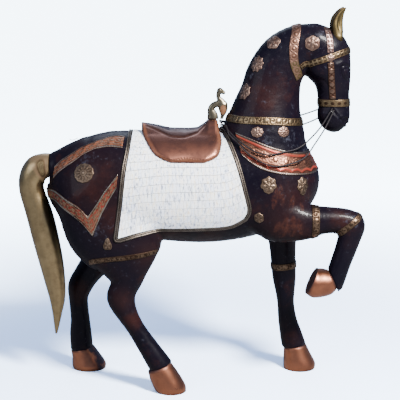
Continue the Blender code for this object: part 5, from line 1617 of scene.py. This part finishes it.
hem = np.linspace(0, 1, 331)
span = np.linspace(0, 1, 481)
loop = np.vstack([
    cloth_places(hem, 0 * hem)[:-1], cloth_places(0 * span + 1, span)[:-1],
    cloth_places(hem[::-1], 0 * hem + 1)[:-1], cloth_places(0 * span, span[::-1]),
])
loop = evenly(loop, int(run_of(loop)[-1] / TRIM_STEP))[:-1]
flat, facing = nearest(body_surface, loop)
along = averaged(np.roll(flat, -1, axis=0) - np.roll(flat, 1, axis=0), True, 2)
outward = unit(np.cross(along, averaged(facing, True)))
if ((flat - flat.mean(0)) * outward).sum() < 0:
    outward = -outward
offsets = TRIM_GAP + np.linspace(0, 1, TRIM_COLUMNS) * TRIM_WIDTH
grid = flat[:, None] + outward[:, None] * offsets[None, :, None]
laid("twisted_cloth_trim", "cloth_trim", grid, trim_metal, trim_relief, True, thickness=0.0006)

# Saddle
# A low wooden saddle covered in brown copper sheet: a hollowed seat painted darker with shade, a crease round
# it, full sides, and an embossed brighter rim along its lower edge.
SADDLE_EDGES = [
    (-66, 10, -91, 552), (-86, 29, -87, 559), (-105, 43, -80, 571), (-121, 49, -60, 591),
    (-132, 50, -32, 606), (-137, 48, 0, 611),
]
SADDLE_TOP = [
    (-140, 634), (-99, 627), (-69, 619), (-36, 616.5), (-6, 621), (12, 633), (19, 641), (36, 641),
    (50, 629),
]
SADDLE_RIM = 5.04
SADDLE_SIDE = 11
SADDLE_SHOULDER = 42
SADDLE_RIM_WIDTH = 10.0
SEAT_REAR = -137
SEAT_FRONT = 26
SEAT_DEPTH = 11
CREASE_DEPTH = 0.0016
SADDLE_LENGTHS = 96
# The pewter colour here is the painted shade on the seat.
saddle_copper = metal_finish("saddle_copper", (0.24, 0.100, 0.068), (0.070, 0.027, 0.018), 40, 0.8,
                             (0.11, 0.040, 0.020), bump=0.25, distance=0.0010, pewter=(0.060, 0.026, 0.021))


def past(values, edge, width):
    """Nothing before an edge and one past it, changing smoothly over about that width."""
    return 1 / (1 + np.exp(-(values - edge) / width))


rows = smooth_stations(SADDLE_EDGES, 12)
rows = np.vstack([rows, rows[-2::-1] * (1, 1, -1, 1)])
u = np.linspace(0, 1, SADDLE_LENGTHS)[:, None]
x = rows[:, 0] * (1 - u) + rows[:, 1] * u
grid = placed(np.stack(np.broadcast_arrays(x, rows[:, 2], rows[:, 3]), axis=-1))
flat, facing = nearest(body_surface, grid.reshape(-1, 3))
base = (flat + facing * (BOARD_THICKNESS + 0.0002)).reshape(grid.shape)
normals = unit(np.cross(np.gradient(base, axis=0), np.gradient(base, axis=1)))
if (normals.reshape(-1, 3) * facing).sum() < 0:
    normals = -normals
x_drawn = (base[..., 0] - SHIFT[0]) / SHARE
y_drawn = (base[..., 1] - SHIFT[1]) / SHARE
drop = np.cumsum(np.linalg.norm(np.diff(base, axis=1), axis=2), axis=1)
drop = np.concatenate([np.zeros((SADDLE_LENGTHS, 1)), drop], axis=1)
from_side = np.minimum(drop, drop[:, -1:] - drop) * 1000
from_edge = np.minimum(from_side, np.minimum(u, 1 - u) * (x.max(0) - x.min(0)))
puff = 1 - np.exp(-from_edge / 6.0)
rim = held((SADDLE_RIM_WIDTH - from_edge) / 4) * held((from_edge - 1.0) / 1.5)
step = past(from_edge, SADDLE_RIM_WIDTH, 0.8)
specks = bump_row(x_drawn + 0.5 * y_drawn, from_edge - 7.5 - 1.5 * np.sin(x_drawn * 0.9), 6.0, 1.7)[0]
high = SADDLE_RIM + (SADDLE_SIDE - SADDLE_RIM) * puff - 0.5 * (1 - step) + 0.5 * specks
over = base + normals * (high * SHARE)[..., None]
top_x, top_z = np.array(SADDLE_TOP).T
wanted = np.interp((over[..., 0] - SHIFT[0]) / SHARE, top_x, top_z)
near = held(1 - np.abs(y_drawn) / SADDLE_SHOULDER)
gain = np.maximum(wanted * SHARE + SHIFT[2] - over[..., 2], 0)
over[..., 2] += gain * held(near * near * (3 - 2 * near) * 1.25)
drawn_top = (over[..., 2] - SHIFT[2]) / SHARE
seat_share = held((x_drawn - SEAT_REAR) / (SEAT_FRONT - SEAT_REAR))
seat_line = np.interp(x_drawn, top_x, top_z) - SEAT_DEPTH * np.sin(np.pi * seat_share)
# The seat lies above its crease line, and is where the painted shade goes.
seat = past(drawn_top, seat_line, 1.2)
crease = bell(drawn_top, seat_line, 1.6) * held(seat_share * 12) * held((1 - seat_share) * 12)
over[..., 2] -= crease * CREASE_DEPTH
top = grid_quads(*grid.shape[:2])
probe = over.reshape(-1, 3)[top]
if (np.cross(probe[:, 2] - probe[:, 0], probe[:, 3] - probe[:, 1]).sum(0))[2] < 0:
    top = top[:, ::-1]
under = base + normals * 0.0002
places = np.vstack([over.reshape(-1, 3), under.reshape(-1, 3)])
saddle = new_object("copper_saddle", places, closed_sheet(top, len(flat)), saddle_copper)
raised = held(1 - 0.6 * crease - 0.25 * bell(from_edge, SADDLE_RIM_WIDTH, 2))
raised *= np.clip(from_edge / 1.5, 0.1, 1)
# Enamel on the rim, and painted shade on the seat as negative values.
finish = rim * (1 - specks) - seat * (1 - rim)
vertex_mask(saddle, "raised", np.append(raised, 0 * raised))
vertex_mask(saddle, "enamel", np.append(finish, 0 * finish))
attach(saddle, "root")
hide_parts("saddle")

# Finial
# A cast brass bird's head on a curled neck, screwed to the pommel, with a small leaf in copper on its breast.
FINIAL_SCROLL = (3, [
    (58, 0, 675, 7.5, 6), (46, 0, 677, 7.5, 6), (37, 0, 676, 7.5, 6), (29, 0, 671, 7.5, 6),
    (25.5, 0, 663, 8, 6), (28, 0, 655, 11, 6.5), (30, 0, 646, 13, 7), (30, 0, 634, 13.5, 7.5),
])
FINIAL_NECK = (3, [
    (46, 0, 708, 6.5, 6), (42.5, 0, 698, 5, 5), (44, 0, 690, 5.5, 5), (50, 0, 682, 8, 6),
    (53, 0, 673, 10.5, 7), (54, 0, 664, 10.5, 7.5), (53.5, 0, 656, 7, 6.5), (52.5, 0, 650, 4.5, 5),
    (51, 0, 644, 4, 5), (50, 0, 634, 4.5, 6),
])
FINIAL_BEAK = (3, [
    (46, 0, 708, 6, 5),
    (55.5, 0, 703, 4.5, 4),
])
FINIAL_SEAT = (36, 0, 641.5, 0.0, -1.0, 40)
FINIAL_STEP = 0.0014
finial_brass = metal_finish("finial_brass", (0.17, 0.145, 0.10), (0.026, 0.020, 0.013), 90, 0.5,
                            (0.20, 0.085, 0.04))
field, lowest = carve([FINIAL_SCROLL, FINIAL_NECK, FINIAL_BEAK], [FINIAL_SEAT], FINIAL_STEP)
verts, quads = skin(field, lowest, FINIAL_STEP)
finial = new_object("bird_finial", settle(verts, field, lowest, FINIAL_STEP) + SHIFT, quads, finial_brass)
places = vertex_rows(finial)
x, _, z = ((places - SHIFT) / SHARE).T
eye = bell(np.hypot(x - 45.5, z - 709), 2.6, 0.7)
leaf_off = np.hypot((x - 54) / 8.0, (z - 664) / 13.0)
feathers = 0.5 + 0.5 * np.cos(2 * np.pi * (z + np.abs(x - 54.5)) / 2.6)
leaf = held((1 - leaf_off) * 4)
cut = leaf * (1 - feathers)
beak_cut = bell(z, 705 - 0.2 * (x - 54), 0.6) * (x > 51)
lift = eye * 0.6 + bell(leaf_off, 1.0, 0.12) * 0.6 - cut * 0.5 - beak_cut * 0.9
set_verts(finial, places + vertex_rows(finial, "normal") * (lift * SHARE)[:, None])
vertex_mask(finial, "raised", held(0.85 + eye * 0.2 - cut * 0.6 - beak_cut * 0.8))
vertex_mask(finial, "enamel", leaf * 0.8)
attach(finial, "root")
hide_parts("finial")

# Croup wire
# A broken end of thin wire that still stands up from the croup, where an ornament was fixed.
CROUP_WIRE_DIAMETER = 0.0012
CROUP_WIRE = [(-286, -2, 597), (-293, -3, 594), (-300, -4, 592), (-306, -4, 595)]
stub = wire("croup_wire_end", placed(smooth_stations(CROUP_WIRE, 6)), CROUP_WIRE_DIAMETER)
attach(stub, "root")
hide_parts("croup_wire")
